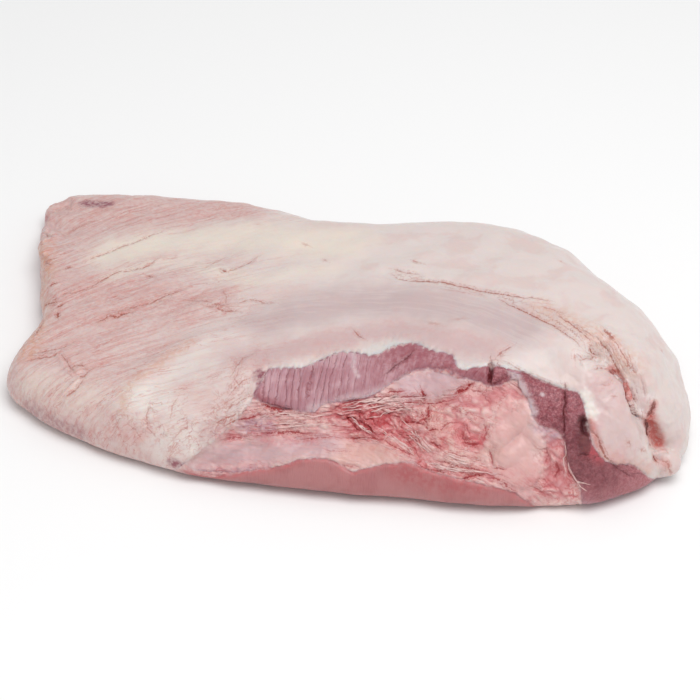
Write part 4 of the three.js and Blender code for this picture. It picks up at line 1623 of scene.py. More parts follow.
class Tree:
    """Adds nodes to one node tree and links them."""

    def __init__(self, tree: bpy.types.NodeTree) -> None:
        """Args:
            tree: The tree to add to.
        """
        self.tree = tree

    def add(self, kind: str, inputs: Optional[dict] = None, **settings: object) -> bpy.types.Node:
        """Adds a node.

        Args:
            kind: The node's type.
            inputs: Input sockets by name or number, each with a socket to link or a value to set.
            settings: The node's own settings.

        Returns:
            The node.
        """
        node = self.tree.nodes.new(kind)
        for key, value in settings.items():
            setattr(node, key, value)
        for key, value in (inputs or {}).items():
            if isinstance(value, Socket):
                self.tree.links.new(value, node.inputs[key])
            else:
                node.inputs[key].default_value = value
        return node

    def math(self, operation: str, *values: object, clamp: bool = False) -> Socket:
        """The result of a sum on numbers or sockets."""
        node = self.add("ShaderNodeMath", dict(enumerate(values)), operation=operation, use_clamp=clamp)
        return node.outputs[0]

    def product(self, *values: object) -> Socket:
        """All the values multiplied together."""
        total = values[0]
        for value in values[1:]:
            total = self.math("MULTIPLY", total, value)
        return total

    def ramp(self, value: Socket, start: float, end: float, low: float = 0.0, high: float = 1.0) -> Socket:
        """Goes smoothly from low to high as the value goes from start to end."""
        inputs = {"Value": value, "From Min": start, "From Max": end, "To Min": low, "To Max": high}
        node = self.add("ShaderNodeMapRange", inputs, interpolation_type="SMOOTHSTEP")
        return node.outputs["Result"]

    def blend(self, share: object, under: object, over: object) -> Socket:
        """Goes from one colour to another."""
        node = self.add("ShaderNodeMix", {0: share, 6: under, 7: over}, data_type="RGBA", clamp_factor=True)
        return node.outputs[2]

    def tint(self, under: object, over: object, mask: str, clouds: Socket, *limits: float) -> Socket:
        """Lays a colour over another by a mask, in clouds that the limits ramp."""
        return self.blend(self.product(self.mask(mask), self.ramp(clouds, *limits)), under, over)

    def lines(self, place: Socket, sizes: Colour, thinness: float, cover: float) -> Socket:
        """Thin wandering lines, drawn out by a size along each axis."""
        inputs = {"Place": self.stretched(place, sizes), "Thinness": thinness, "Cover": cover}
        return self.group(ThinLines(), inputs).outputs["Lines"]

    def mask(self, name: str) -> Socket:
        """A number stored on the mesh."""
        return self.stored(name, "Fac")

    def stored(self, name: str, output: str = "Vector") -> Socket:
        """A vector stored on the mesh, or a number."""
        node = self.add("ShaderNodeAttribute", attribute_name=name, attribute_type="GEOMETRY")
        return node.outputs[output]

    def place(self) -> Socket:
        """The surface point in the part's own frame, in millimetres."""
        where = self.add("ShaderNodeTexCoord").outputs["Object"]
        return self.add("ShaderNodeVectorMath", {0: where, "Scale": 1 / MM}, operation="SCALE").outputs[0]

    def stretched(self, vector: Socket, sizes: Colour) -> Socket:
        """A vector divided by a size along each axis."""
        scale = tuple(1 / size for size in sizes)
        return self.add("ShaderNodeVectorMath", {0: vector, 1: scale}, operation="MULTIPLY").outputs[0]

    def noise(self, vector: Socket, scale: object = 1.0, detail: float = 2.0, rough: float = 0.5,
              bend: float = 0.0) -> Socket:
        """Noise from 0 to 1."""
        node = self.add("ShaderNodeTexNoise", {"Vector": vector, "Scale": scale, "Detail": detail,
                                               "Roughness": rough, "Distortion": bend})
        return node.outputs["Fac"]

    def group(self, maker: "EffectGroup", inputs: dict) -> bpy.types.Node:
        """Places a shared effect.

        Args:
            maker: The effect.
            inputs: Its input sockets by name, each with a socket to link or a value to set.

        Returns:
            The group's node.
        """
        return self.add("ShaderNodeGroup", inputs, node_tree=maker.tree())


@dataclass(frozen=True)
class EffectGroup:
    """A shader effect that several finishes share, built once as a node group."""

    name: str = ""
    takes: tuple[tuple[str, str, object], ...] = ()
    gives: tuple[tuple[str, str], ...] = ()

    def tree(self) -> bpy.types.NodeTree:
        """The group's tree, made when it is first asked for."""
        found = bpy.data.node_groups.get(self.name)
        if found:
            return found
        made = bpy.data.node_groups.new(self.name, "ShaderNodeTree")
        for name, kind, value in self.takes:
            socket = made.interface.new_socket(name=name, in_out="INPUT", socket_type=kind)
            if value is not None:
                socket.default_value = value
        for name, kind in self.gives:
            made.interface.new_socket(name=name, in_out="OUTPUT", socket_type=kind)
        tree = Tree(made)
        start = made.nodes.new("NodeGroupInput")
        results = self.fill(tree, start.outputs)
        end = made.nodes.new("NodeGroupOutput")
        for name, socket in results.items():
            made.links.new(socket, end.inputs[name])
        return made

    def fill(self, t: Tree, given: bpy.types.NodeOutputs) -> dict[str, Socket]:
        """Adds the group's nodes.

        Args:
            t: The group's tree.
            given: The group's input sockets.

        Returns:
            What feeds each output, by name.
        """
        raise NotImplementedError


NUMBER, VECTOR = "NodeSocketFloat", "NodeSocketVector"


@dataclass(frozen=True)
class Mottling(EffectGroup):
    """Broad and fine cloudiness of flesh and fat."""

    name: str = "mottling"
    takes: tuple = (("Place", VECTOR, None), ("Size", NUMBER, 20.0))
    gives: tuple = (("Broad", NUMBER), ("Fine", NUMBER))

    def fill(self, t: Tree, given: bpy.types.NodeOutputs) -> dict[str, Socket]:
        """Two noises, the fine one a seventh of the broad one's size."""
        scale = t.math("DIVIDE", 1.0, given["Size"])
        fine_scale = t.product(scale, 7.0)
        return {
            "Broad": t.ramp(t.noise(given["Place"], scale, 3.0, 0.55, 0.4), 0.3, 0.7),
            "Fine": t.ramp(t.noise(given["Place"], fine_scale, 4.0, 0.6), 0.3, 0.7),
        }


@dataclass(frozen=True)
class ThinLines(EffectGroup):
    """Thin wandering lines, such as veins and torn fibres."""

    name: str = "thin_lines"
    takes: tuple = (("Place", VECTOR, None), ("Thinness", NUMBER, 12.0), ("Cover", NUMBER, 0.5))
    gives: tuple = (("Lines", NUMBER),)

    def fill(self, t: Tree, given: bpy.types.NodeOutputs) -> dict[str, Socket]:
        """The lines lie where a noise crosses its middle, and come and go by a broader noise."""
        wander = t.noise(given["Place"], 1.0, 3.0, 0.6, 0.6)
        off = t.math("ABSOLUTE", t.math("SUBTRACT", wander, 0.5))
        line = t.math("SUBTRACT", 1.0, t.product(off, given["Thinness"]), clamp=True)
        patches = t.noise(given["Place"], 0.45, 2.0, 0.5)
        shown = t.math("MULTIPLY", t.math("SUBTRACT", patches, t.math("SUBTRACT", 1.0, given["Cover"])), 5.0,
                       clamp=True)
        return {"Lines": t.product(line, line, shown)}


@dataclass(frozen=True)
class MuscleGrain(EffectGroup):
    """Fibres of lean meat that run up the wall."""

    name: str = "muscle_grain"
    takes: tuple = (("Across", NUMBER, 0.0), ("Up", NUMBER, 0.0), ("Fibre", NUMBER, 1.0),
                    ("Length", NUMBER, 12.0))
    gives: tuple = (("Grain", NUMBER), ("Threads", NUMBER))

    def fill(self, t: Tree, given: bpy.types.NodeOutputs) -> dict[str, Socket]:
        """Noise drawn out along the fibres, and its pale threads."""
        x = t.math("DIVIDE", given["Across"], given["Fibre"])
        y = t.math("DIVIDE", given["Up"], given["Length"])
        place = t.add("ShaderNodeCombineXYZ", {0: x, 1: y, 2: 3.0}).outputs[0]
        grain = t.noise(place, 1.0, 3.0, 0.6, 0.25)
        wide = t.noise(place, 0.35, 2.0, 0.5, 0.2)
        return {"Grain": t.ramp(grain, 0.25, 0.75), "Threads": t.ramp(wide, 0.5, 0.72)}


@dataclass(frozen=True)
class Moisture(EffectGroup):
    """Wet and drier patches, with the fine pimples of a moist skin."""

    name: str = "moisture"
    takes: tuple = (("Place", VECTOR, None), ("Wet", NUMBER, 0.3), ("Dry", NUMBER, 0.5))
    gives: tuple = (("Roughness", NUMBER), ("Pimples", NUMBER))

    def fill(self, t: Tree, given: bpy.types.NodeOutputs) -> dict[str, Socket]:
        """Roughness wanders between wet and dry."""
        wander = t.ramp(t.noise(given["Place"], 0.09, 4.0, 0.6), 0.35, 0.65)
        change = t.math("SUBTRACT", given["Dry"], given["Wet"])
        rough = t.math("ADD", given["Wet"], t.product(wander, change))
        return {"Roughness": rough, "Pimples": t.noise(given["Place"], 0.55, 3.0, 0.6)}


@dataclass(frozen=True)
class DrawnLine(EffectGroup):
    """The strokes laid over the meat, drawn finer than the mesh: a jagged core and a soft flush round it."""

    name: str = "drawn_line"
    takes: tuple = (("Place", VECTOR, None), ("Beside", NUMBER, STROKE_REACH), ("Ink", NUMBER, 0.0),
                    ("Width", NUMBER, 0.7))
    gives: tuple = (("Core", NUMBER), ("Flush", NUMBER))

    def fill(self, t: Tree, given: bpy.types.NodeOutputs) -> dict[str, Socket]:
        """The line strays sideways, breaks up and has a fainter one at its side."""
        stray = t.product(t.math("SUBTRACT", t.noise(given["Place"], 0.16, 3.0, 0.7), 0.5), 4.4)
        at = t.math("ABSOLUTE", t.math("ADD", given["Beside"], stray))
        broken = t.ramp(t.noise(given["Place"], 0.42, 2.0, 0.7), 0.34, 0.6, 0.25, 1.0)
        wide = t.product(given["Width"], t.math("ADD", broken, 0.35))
        core = t.ramp(t.math("DIVIDE", at, wide), 1.15, 0.45)
        second = t.ramp(t.math("DIVIDE", t.math("ABSOLUTE", t.math("SUBTRACT", at, 2.0)), wide), 0.8, 0.2)
        faint = t.product(second, t.ramp(broken, 0.6, 1.0, 0.0, 0.4))
        both = t.math("MAXIMUM", t.product(core, t.ramp(broken, 0.25, 0.6, 0.3, 1.0)), faint)
        flush = t.product(t.ramp(at, 3.2, 0.3), given["Ink"], broken)
        return {"Core": t.math("MULTIPLY", both, given["Ink"], clamp=True), "Flush": flush}


# ------------------------------ looks


@dataclass(frozen=True)
class Flesh:
    """What all the looks on one piece read."""

    place: Socket
    broad: Socket
    fine: Socket
    core: Socket
    flush: Socket
    relief: Socket


@dataclass(frozen=True)
class Look:
    """The colour and the fine height of one kind of flesh."""

    def surface(self, t: Tree, f: Flesh) -> tuple[Socket, Socket]:
        """Adds the look's nodes.

        Args:
            t: The material's tree.
            f: What all the looks read.

        Returns:
            What gives the colour, and the height in millimetres.
        """
        raise NotImplementedError


@dataclass(frozen=True)
class FatLook(Look):
    """Raw fat: cream and pink, clouded, with fine diagonal veins and brown creases, darkened by painted shade
    where they are deep.
    """

    plain: tuple = paint(217, 203, 199)
    cream: tuple = paint(226, 213, 201)
    pink: tuple = paint(205, 158, 153)
    film: tuple = paint(193, 171, 171)
    # warm tint of the fat, also the colour of the painted shade beside the pale ridge
    flushed: tuple = paint(206, 168, 168)
    warm: tuple = paint(207, 156, 128)
    lean: tuple = paint(144, 84, 96)
    raw: tuple = paint(190, 98, 90)
    stain: tuple = paint(166, 84, 62)
    # painted shade: the stroke colour of deep furrows
    deep_crease_shade: tuple = paint(112, 44, 36)
    vein: tuple = paint(188, 106, 97)
    whitish: tuple = paint(226, 217, 211)

    def surface(self, t: Tree, f: Flesh) -> tuple[Socket, Socket]:
        """Clouds of cream and pink under veins, stains and films, with shade painted warm and pink beside the
        pale ridge.
        """
        flow = t.stored("flow")
        streaks = t.ramp(t.noise(t.stretched(flow, (38.0, 3.4, 9.0)), 1.0, 3.0, 0.65, 0.35), 0.42, 0.68)
        colour = t.tint(self.plain, self.cream, "cream", f.broad, 0.0, 1.0, 0.7, 1.0)
        pinkness = t.product(t.mask("pink"), t.ramp(f.fine, 0.0, 1.0, 0.5, 1.0),
                             t.ramp(streaks, 0.0, 1.0, 0.7, 1.2))
        colour = t.blend(pinkness, colour, self.pink)
        off_cream = t.math("SUBTRACT", 1.0, t.mask("cream"), clamp=True)
        colour = t.blend(t.product(t.ramp(f.broad, 0.45, 1.0, 0.0, 0.22), off_cream), colour, self.pink)
        colour = t.tint(colour, self.film, "film", streaks, 0.0, 1.0, 0.95, 0.7)
        colour = t.tint(colour, self.flushed, "flushed", f.broad, 0.0, 1.0, 0.6, 1.0)
        colour = t.tint(colour, self.whitish, "whitish", f.fine, 0.0, 1.0, 0.8, 1.0)
        colour = t.blend(t.product(t.mask("streaks"), streaks, 0.28), colour, self.pink)
        veins = t.lines(flow, (24.0, 4.4, 8.0), 26.0, 0.57)
        colour = t.blend(t.product(t.mask("streaks"), veins, 0.8), colour, self.vein)
        crumple = t.lines(f.place, (7.0, 7.0, 7.0), 20.0, 0.57)
        colour = t.blend(t.product(t.mask("wrinkles"), crumple, 0.7), colour, self.vein)
        # warm tint, and painted shade in the groove left of the pale ridge
        colour = t.tint(colour, self.warm, "warm", f.fine, 0.1, 0.9, 0.15, 0.8)
        colour = t.tint(colour, self.lean, "lean_tint", f.fine, 0.1, 0.8, 0.45, 1.0)
        colour = t.tint(colour, self.raw, "raw", f.fine, 0.0, 0.7, 0.6, 1.0)
        colour = t.blend(t.product(f.flush, 0.4), colour, self.vein)
        # the brown stain of the strokes, darkened by painted shade as their furrows deepen
        stain = t.blend(t.mask("line_deep"), self.stain, self.deep_crease_shade)
        colour = t.blend(t.product(f.core, 0.9), colour, stain)
        height = t.math("ADD", t.product(streaks, t.mask("streaks"), -0.3), t.product(f.core, -0.25))
        return colour, t.math("SUBTRACT", height, t.product(crumple, t.mask("wrinkles"), 0.3))


@dataclass(frozen=True)
class LeanLook(Look):
    """Raw lean of the point: dull purple in tied bundles, dark red where it was cut, with painted shade in
    deep recesses and in its pocket.
    """

    purple: tuple = paint(174, 123, 132)
    purple_pale: tuple = paint(202, 163, 170)
    # darker purple between the fibres of the grain, and painted shade in the grooves between bundles
    groove: tuple = paint(148, 82, 91)
    red: tuple = paint(150, 74, 84)
    red_pale: tuple = paint(204, 142, 148)
    # deep red of the cut, also the painted shade of the pocket
    red_deep: tuple = paint(110, 44, 54)
    foot: tuple = paint(174, 104, 109)
    # painted shade: the near-black of the pocket, also laid over the dark gel lump
    dark: tuple = paint(74, 16, 20)
    cut: tuple = paint(110, 38, 44)
    gel: tuple = paint(120, 62, 64)
    veil: tuple = paint(208, 182, 186)
    tissue: tuple = paint(186, 84, 92)
    # painted shade: the darker lean of deep recesses, such as the sunk lower edge and the deep cuts
    rim: tuple = paint(156, 84, 92)

    def surface(self, t: Tree, f: Flesh) -> tuple[Socket, Socket]:
        """Tied bundles of fibres over clouds of colour, with a darker cut block and painted shade in the
        grooves between bundles.
        """
        grain = {"Across": t.mask("across"), "Up": t.mask("up")}
        fibres = t.group(MuscleGrain(), {**grain, "Fibre": 1.0, "Length": 11.0}).outputs
        wander = t.product(t.math("SUBTRACT", t.noise(f.place, 0.35, 3.0, 0.6), 0.5), 0.55)
        turn = t.product(t.math("ADD", t.mask("bundle"), wander), math.pi)
        tie = t.ramp(t.math("ABSOLUTE", t.math("SINE", turn)), 0.34, 0.02)
        tie = t.product(tie, t.mask("tied"), t.ramp(f.fine, 0.1, 0.8, 0.35, 1.0))
        colour = t.blend(t.ramp(f.broad, 0.15, 0.9, 0.0, 0.75), self.purple, self.purple_pale)
        colour = t.blend(t.product(fibres["Threads"], 0.5), colour, self.purple_pale)
        colour = t.tint(colour, self.red, "ruddy", f.fine, 0.0, 1.0, 0.5, 0.95)
        colour = t.blend(t.ramp(fibres["Grain"], 0.45, 0.1, 0.0, 0.4), colour, self.groove)
        # painted shade: the grooves between the tied bundles darkened
        colour = t.blend(t.product(tie, 0.8), colour, self.groove)
        granular = t.ramp(t.noise(f.place, 0.55, 3.0, 0.85), 0.42, 0.62)
        cut = t.blend(t.product(granular, 0.6), self.red, self.red_pale)
        cut = t.blend(t.ramp(f.fine, 0.5, 0.1, 0.0, 0.5), cut, self.red_deep)
        colour = t.blend(t.mask("block"), colour, cut)
        foot = t.blend(t.product(granular, 0.5), self.foot, self.red_pale)
        colour = t.blend(t.product(t.mask("foot"), 0.7), colour, foot)
        colour = t.tint(colour, self.red_deep, "dark_lean", f.fine, 0.0, 1.0, 0.9, 0.55)
        # painted shade: darker where the relief is sunk deepest
        colour = t.blend(t.ramp(f.relief, -1.0, -3.5, 0.0, 0.6), colour, self.rim)
        colour = t.tint(colour, self.tissue, "tissue", f.fine, 0.0, 0.8, 0.6, 1.0)
        colour = t.tint(colour, self.veil, "veiled", f.fine, 0.0, 0.6, 0.55, 1.0)
        # painted shade: the pocket near-black, and the dark gel lump below it darkened further
        colour = t.blend(t.product(t.mask("hollow"), 0.9), colour, self.dark)
        colour = t.tint(colour, self.gel, "gel", f.fine, 0.2, 0.8, 0.3, 0.8)
        colour = t.blend(t.product(f.flush, 0.4), colour, self.red_deep)
        colour = t.blend(f.core, colour, self.cut)
        plain = t.math("SUBTRACT", 1.0, t.mask("block"), clamp=True)
        grains = t.product(granular, t.mask("block"), 0.4)
        height = t.math("ADD", t.product(fibres["Grain"], plain, 0.25), grains)
        height = t.math("SUBTRACT", height, t.product(tie, 0.45))
        return colour, t.math("SUBTRACT", height, t.product(f.core, 0.5))


@dataclass(frozen=True)
class TornLook(Look):
    """Torn seam: pale strands and lobes with red creases, films and blood."""

    strand: tuple = paint(221, 182, 178)
    smooth_fat: tuple = paint(210, 164, 161)
    strand_pale: tuple = paint(234, 208, 203)
    yellowish: tuple = paint(212, 173, 163)
    silver: tuple = paint(198, 168, 172)
    lilac: tuple = paint(180, 146, 158)
    pink: tuple = paint(212, 148, 149)
    # raw red of creases and threads, also partly painted shade in deep recesses
    raw: tuple = paint(186, 62, 68)
    # blood red, also the colour of the painted shade in the valleys between strands
    blood: tuple = paint(202, 92, 98)
    dark: tuple = paint(158, 46, 48)

    def surface(self, t: Tree, f: Flesh) -> tuple[Socket, Socket]:
        """Pale crests over pink, thin red creases between them, blood round the tangle, painted shade in the
        valleys, and raw red in deep recesses that is partly painted shade.
        """
        jitter = t.product(t.math("SUBTRACT", t.noise(f.place, 0.7, 3.0, 0.7), 0.5), 0.34)
        border = t.math("ADD", t.mask("border"), jitter)
        strong = t.product(t.mask("tangle"), t.ramp(f.broad, 0.15, 0.7, 0.3, 1.0))
        crease = t.product(t.ramp(border, 0.13, 0.01), strong)
        shade = t.product(t.ramp(border, 0.42, 0.05), strong)
        smooth_share = t.math("SUBTRACT", 1.0, t.product(t.mask("calm"), 0.8), clamp=True)
        crest = t.product(t.ramp(f.relief, -0.8, 1.6), smooth_share)
        colour = t.blend(t.ramp(f.broad, 0.25, 0.85), self.strand, self.pink)
        colour = t.blend(t.product(t.mask("calm"), 0.75), colour, self.smooth_fat)
        colour = t.blend(t.product(crest, t.ramp(f.fine, 0.0, 1.0, 0.55, 1.0)), colour, self.strand_pale)
        colour = t.tint(colour, self.yellowish, "yellowish", f.fine, 0.0, 1.0, 0.6, 0.95)
        drawn = t.stretched(t.stored("strand_flow"), (10.0, 1.7, 9.0))
        combed = t.ramp(t.noise(drawn, 1.0, 4.0, 0.65, 0.5), 0.35, 0.66)
        colour = t.tint(colour, self.silver, "silver", combed, 0.0, 1.0, 0.55, 1.0)
        colour = t.tint(colour, self.lilac, "lilac", f.fine, 0.1, 0.9, 0.4, 0.95)
        stained = t.product(t.mask("blood"), t.ramp(f.fine, 0.1, 0.8, 0.3, 0.95),
                            t.ramp(combed, 0.0, 1.0, 0.6, 1.0))
        colour = t.blend(t.product(stained, t.ramp(crest, 0.2, 1.0, 1.0, 0.5)), colour, self.blood)
        colour = t.blend(t.product(shade, 0.5), colour, self.blood)
        colour = t.blend(t.product(crease, 0.85), colour, self.raw)
        threads = t.product(t.lines(t.stored("strand_flow"), (12.0, 2.4, 9.0), 17.0, 0.55), smooth_share)
        colour = t.blend(t.product(threads, 0.65), colour, self.raw)
        crumple = t.lines(f.place, (4.6, 4.6, 4.6), 15.0, 0.58)
        colour = t.blend(t.product(crumple, t.mask("crumpled"), 0.75), colour, self.raw)
        # deep recesses turn raw red: partly the red flesh that shows there, partly painted shade
        colour = t.blend(t.ramp(f.relief, -1.6, -3.6, 0.0, 0.6), colour, self.raw)
        colour = t.blend(t.product(f.flush, 0.55), colour, self.raw)
        colour = t.blend(f.core, colour, self.dark)
        height = t.math("ADD", t.product(threads, -0.35), t.product(crease, -0.5))
        height = t.math("ADD", height, t.product(combed, smooth_share, 0.3))
        return colour, t.math("SUBTRACT", height, t.product(f.core, 0.3))


@dataclass(frozen=True)
class FlatLook(Look):
    """Raw lean of the flat: an even dusty pink with a fine upright grain."""

    lean: tuple = paint(168, 104, 106)
    lean_pale: tuple = paint(184, 126, 126)
    reddish: tuple = paint(174, 92, 94)
    rim: tuple = paint(192, 104, 106)

    def surface(self, t: Tree, f: Flesh) -> tuple[Socket, Socket]:
        """Fine fibres over soft clouds."""
        inputs = {"Across": t.mask("across_flat"), "Up": t.mask("flat_up"), "Fibre": 0.8, "Length": 7.0}
        fibres = t.group(MuscleGrain(), inputs).outputs
        colour = t.blend(t.ramp(f.broad, 0.1, 0.9, 0.0, 0.7), self.lean, self.lean_pale)
        colour = t.blend(t.product(fibres["Grain"], 0.45), colour, self.lean_pale)
        colour = t.tint(colour, self.reddish, "reddish", f.fine, 0.0, 1.0, 0.3, 0.9)
        colour = t.tint(colour, self.rim, "flat_rim", f.fine, 0.0, 1.0, 0.2, 0.9)
        return t.blend(t.product(f.core, 0.7), colour, self.rim), t.product(fibres["Grain"], 0.2)


@dataclass(frozen=True)
class EdgeLook(Look):
    """A neighbour's flesh, as it shows in the few millimetres where it reaches over a piece's edge."""

    pale: tuple
    deep: tuple

    def surface(self, t: Tree, f: Flesh) -> tuple[Socket, Socket]:
        """Two colours, clouded."""
        return t.blend(f.fine, self.pale, self.deep), f.relief


LOOKS = {Layer.FLAT: FlatLook(), Layer.SEAM: TornLook(), Layer.POINT: LeanLook(), Layer.FAT_CAP: FatLook()}
EDGE_LOOKS = {
    Layer.FLAT: EdgeLook(paint(184, 122, 124), paint(168, 100, 104)),
    Layer.SEAM: EdgeLook(paint(216, 176, 174), paint(196, 124, 126)),
    Layer.POINT: EdgeLook(paint(182, 134, 142), paint(158, 98, 108)),
    Layer.FAT_CAP: EdgeLook(paint(218, 194, 190), paint(206, 164, 162)),
}


@dataclass(frozen=True)
class Finish:
    """The flesh of one piece: its own look, with its neighbours' colours along its ragged edges."""

    layer: Layer
    name: str
    soak: float = 0.35
    soak_reach: Colour = (0.005, 0.0022, 0.0014)
    refraction: float = 1.42
    coat: float = 0.18
    coat_roughness: float = 0.22
    wet: float = 0.28
    dry: float = 0.5
    cloud_size: float = 24.0
    pimple_height: float = 0.18
    bump_strength: float = 0.8
    shares: tuple[tuple[Layer, str], ...] = (
        (Layer.FLAT, ""), (Layer.SEAM, "on_seam"), (Layer.POINT, "on_point"), (Layer.FAT_CAP, "on_cap"))

    def material(self) -> bpy.types.Material:
        """Makes the material."""
        made = bpy.data.materials.new(self.name)
        made.use_nodes = True
        made.node_tree.nodes.clear()
        t = Tree(made.node_tree)
        shader = t.add("ShaderNodeBsdfPrincipled", {
            "Subsurface Weight": self.soak, "Subsurface Radius": self.soak_reach, "Subsurface Scale": 1.0,
            "IOR": self.refraction, "Coat Weight": self.coat, "Coat Roughness": self.coat_roughness})
        t.add("ShaderNodeOutputMaterial", {"Surface": shader.outputs["BSDF"]})
        place = t.place()
        clouds = t.group(Mottling(), {"Place": place, "Size": self.cloud_size}).outputs
        line = t.group(DrawnLine(), {
            "Place": place, "Beside": t.mask("line_beside"), "Ink": t.mask("line_ink"),
            "Width": t.mask("line_width")}).outputs
        flesh = Flesh(place, clouds["Broad"], clouds["Fine"], line["Core"], line["Flush"], t.mask("relief"))
        colour = height = None
        for layer, share in self.shares:
            own = layer is self.layer
            over, relief = (LOOKS if own else EDGE_LOOKS)[layer].surface(t, flesh)
            height = relief if own else height
            colour = t.blend(t.mask(share), colour, over) if share else over
        moist = t.group(Moisture(), {"Place": place, "Wet": self.wet, "Dry": self.dry}).outputs
        height = t.math("ADD", height, t.product(moist["Pimples"], self.pimple_height))
        bumped = t.add("ShaderNodeBump", {"Strength": self.bump_strength, "Distance": MM, "Height": height})
        for name, socket in (("Base Color", colour), ("Roughness", moist["Roughness"]),
                             ("Normal", bumped.outputs["Normal"])):
            made.node_tree.links.new(socket, shader.inputs[name])
        return made


# ------------------------------ loose strands


class FleshTree(Tree):
    """A geometry node tree with one mesh going in and one coming out."""

    def __init__(self, name: str, sizes: dict[str, tuple[str, object]]) -> None:
        """Args:
            name: The tree's name.
            sizes: The tree's named inputs after the mesh, each with its kind and value.
        """
        made = bpy.data.node_groups.new(name, "GeometryNodeTree")
        super().__init__(made)
        made.interface.new_socket(name="Mesh", in_out="INPUT", socket_type="NodeSocketGeometry")
        for label, (kind, value) in sizes.items():
            made.interface.new_socket(name=label, in_out="INPUT", socket_type=kind)
        made.interface.new_socket(name="Mesh", in_out="OUTPUT", socket_type="NodeSocketGeometry")
        self.sizes = sizes
        self.given = made.nodes.new("NodeGroupInput").outputs

    def finish(self, geometry: Socket) -> None:
        """Makes plain mesh of the result and gives it its material."""
        real = self.add("GeometryNodeRealizeInstances", {"Geometry": geometry}).outputs[0]
        smooth_mesh = self.add("GeometryNodeSetShadeSmooth", {"Geometry": real}).outputs[0]
        inputs = {"Geometry": smooth_mesh, "Material": self.given["Material"]}
        painted = self.add("GeometryNodeSetMaterial", inputs)
        self.add("NodeGroupOutput", {"Mesh": painted.outputs[0]})

    def wander(self, scale: float) -> Socket:
        """A noise vector from -0.5 to 0.5 that changes from place to place."""
        node = self.add("ShaderNodeTexNoise", {"Scale": scale, "Detail": 2.0})
        return self.add("ShaderNodeVectorMath", {0: node.outputs["Color"], 1: (0.5, 0.5, 0.5)},
                        operation="SUBTRACT").outputs[0]

    def apply_to(self, obj: Object) -> None:
        """Runs the tree on an object and keeps the result as plain mesh."""
        modifier = obj.modifiers.new(self.tree.name, "NODES")
        modifier.node_group = self.tree
        for item in self.tree.interface.items_tree:
            if item.in_out == "INPUT" and item.name in self.sizes:
                modifier[item.identifier] = self.sizes[item.name][1]
        bake(obj)


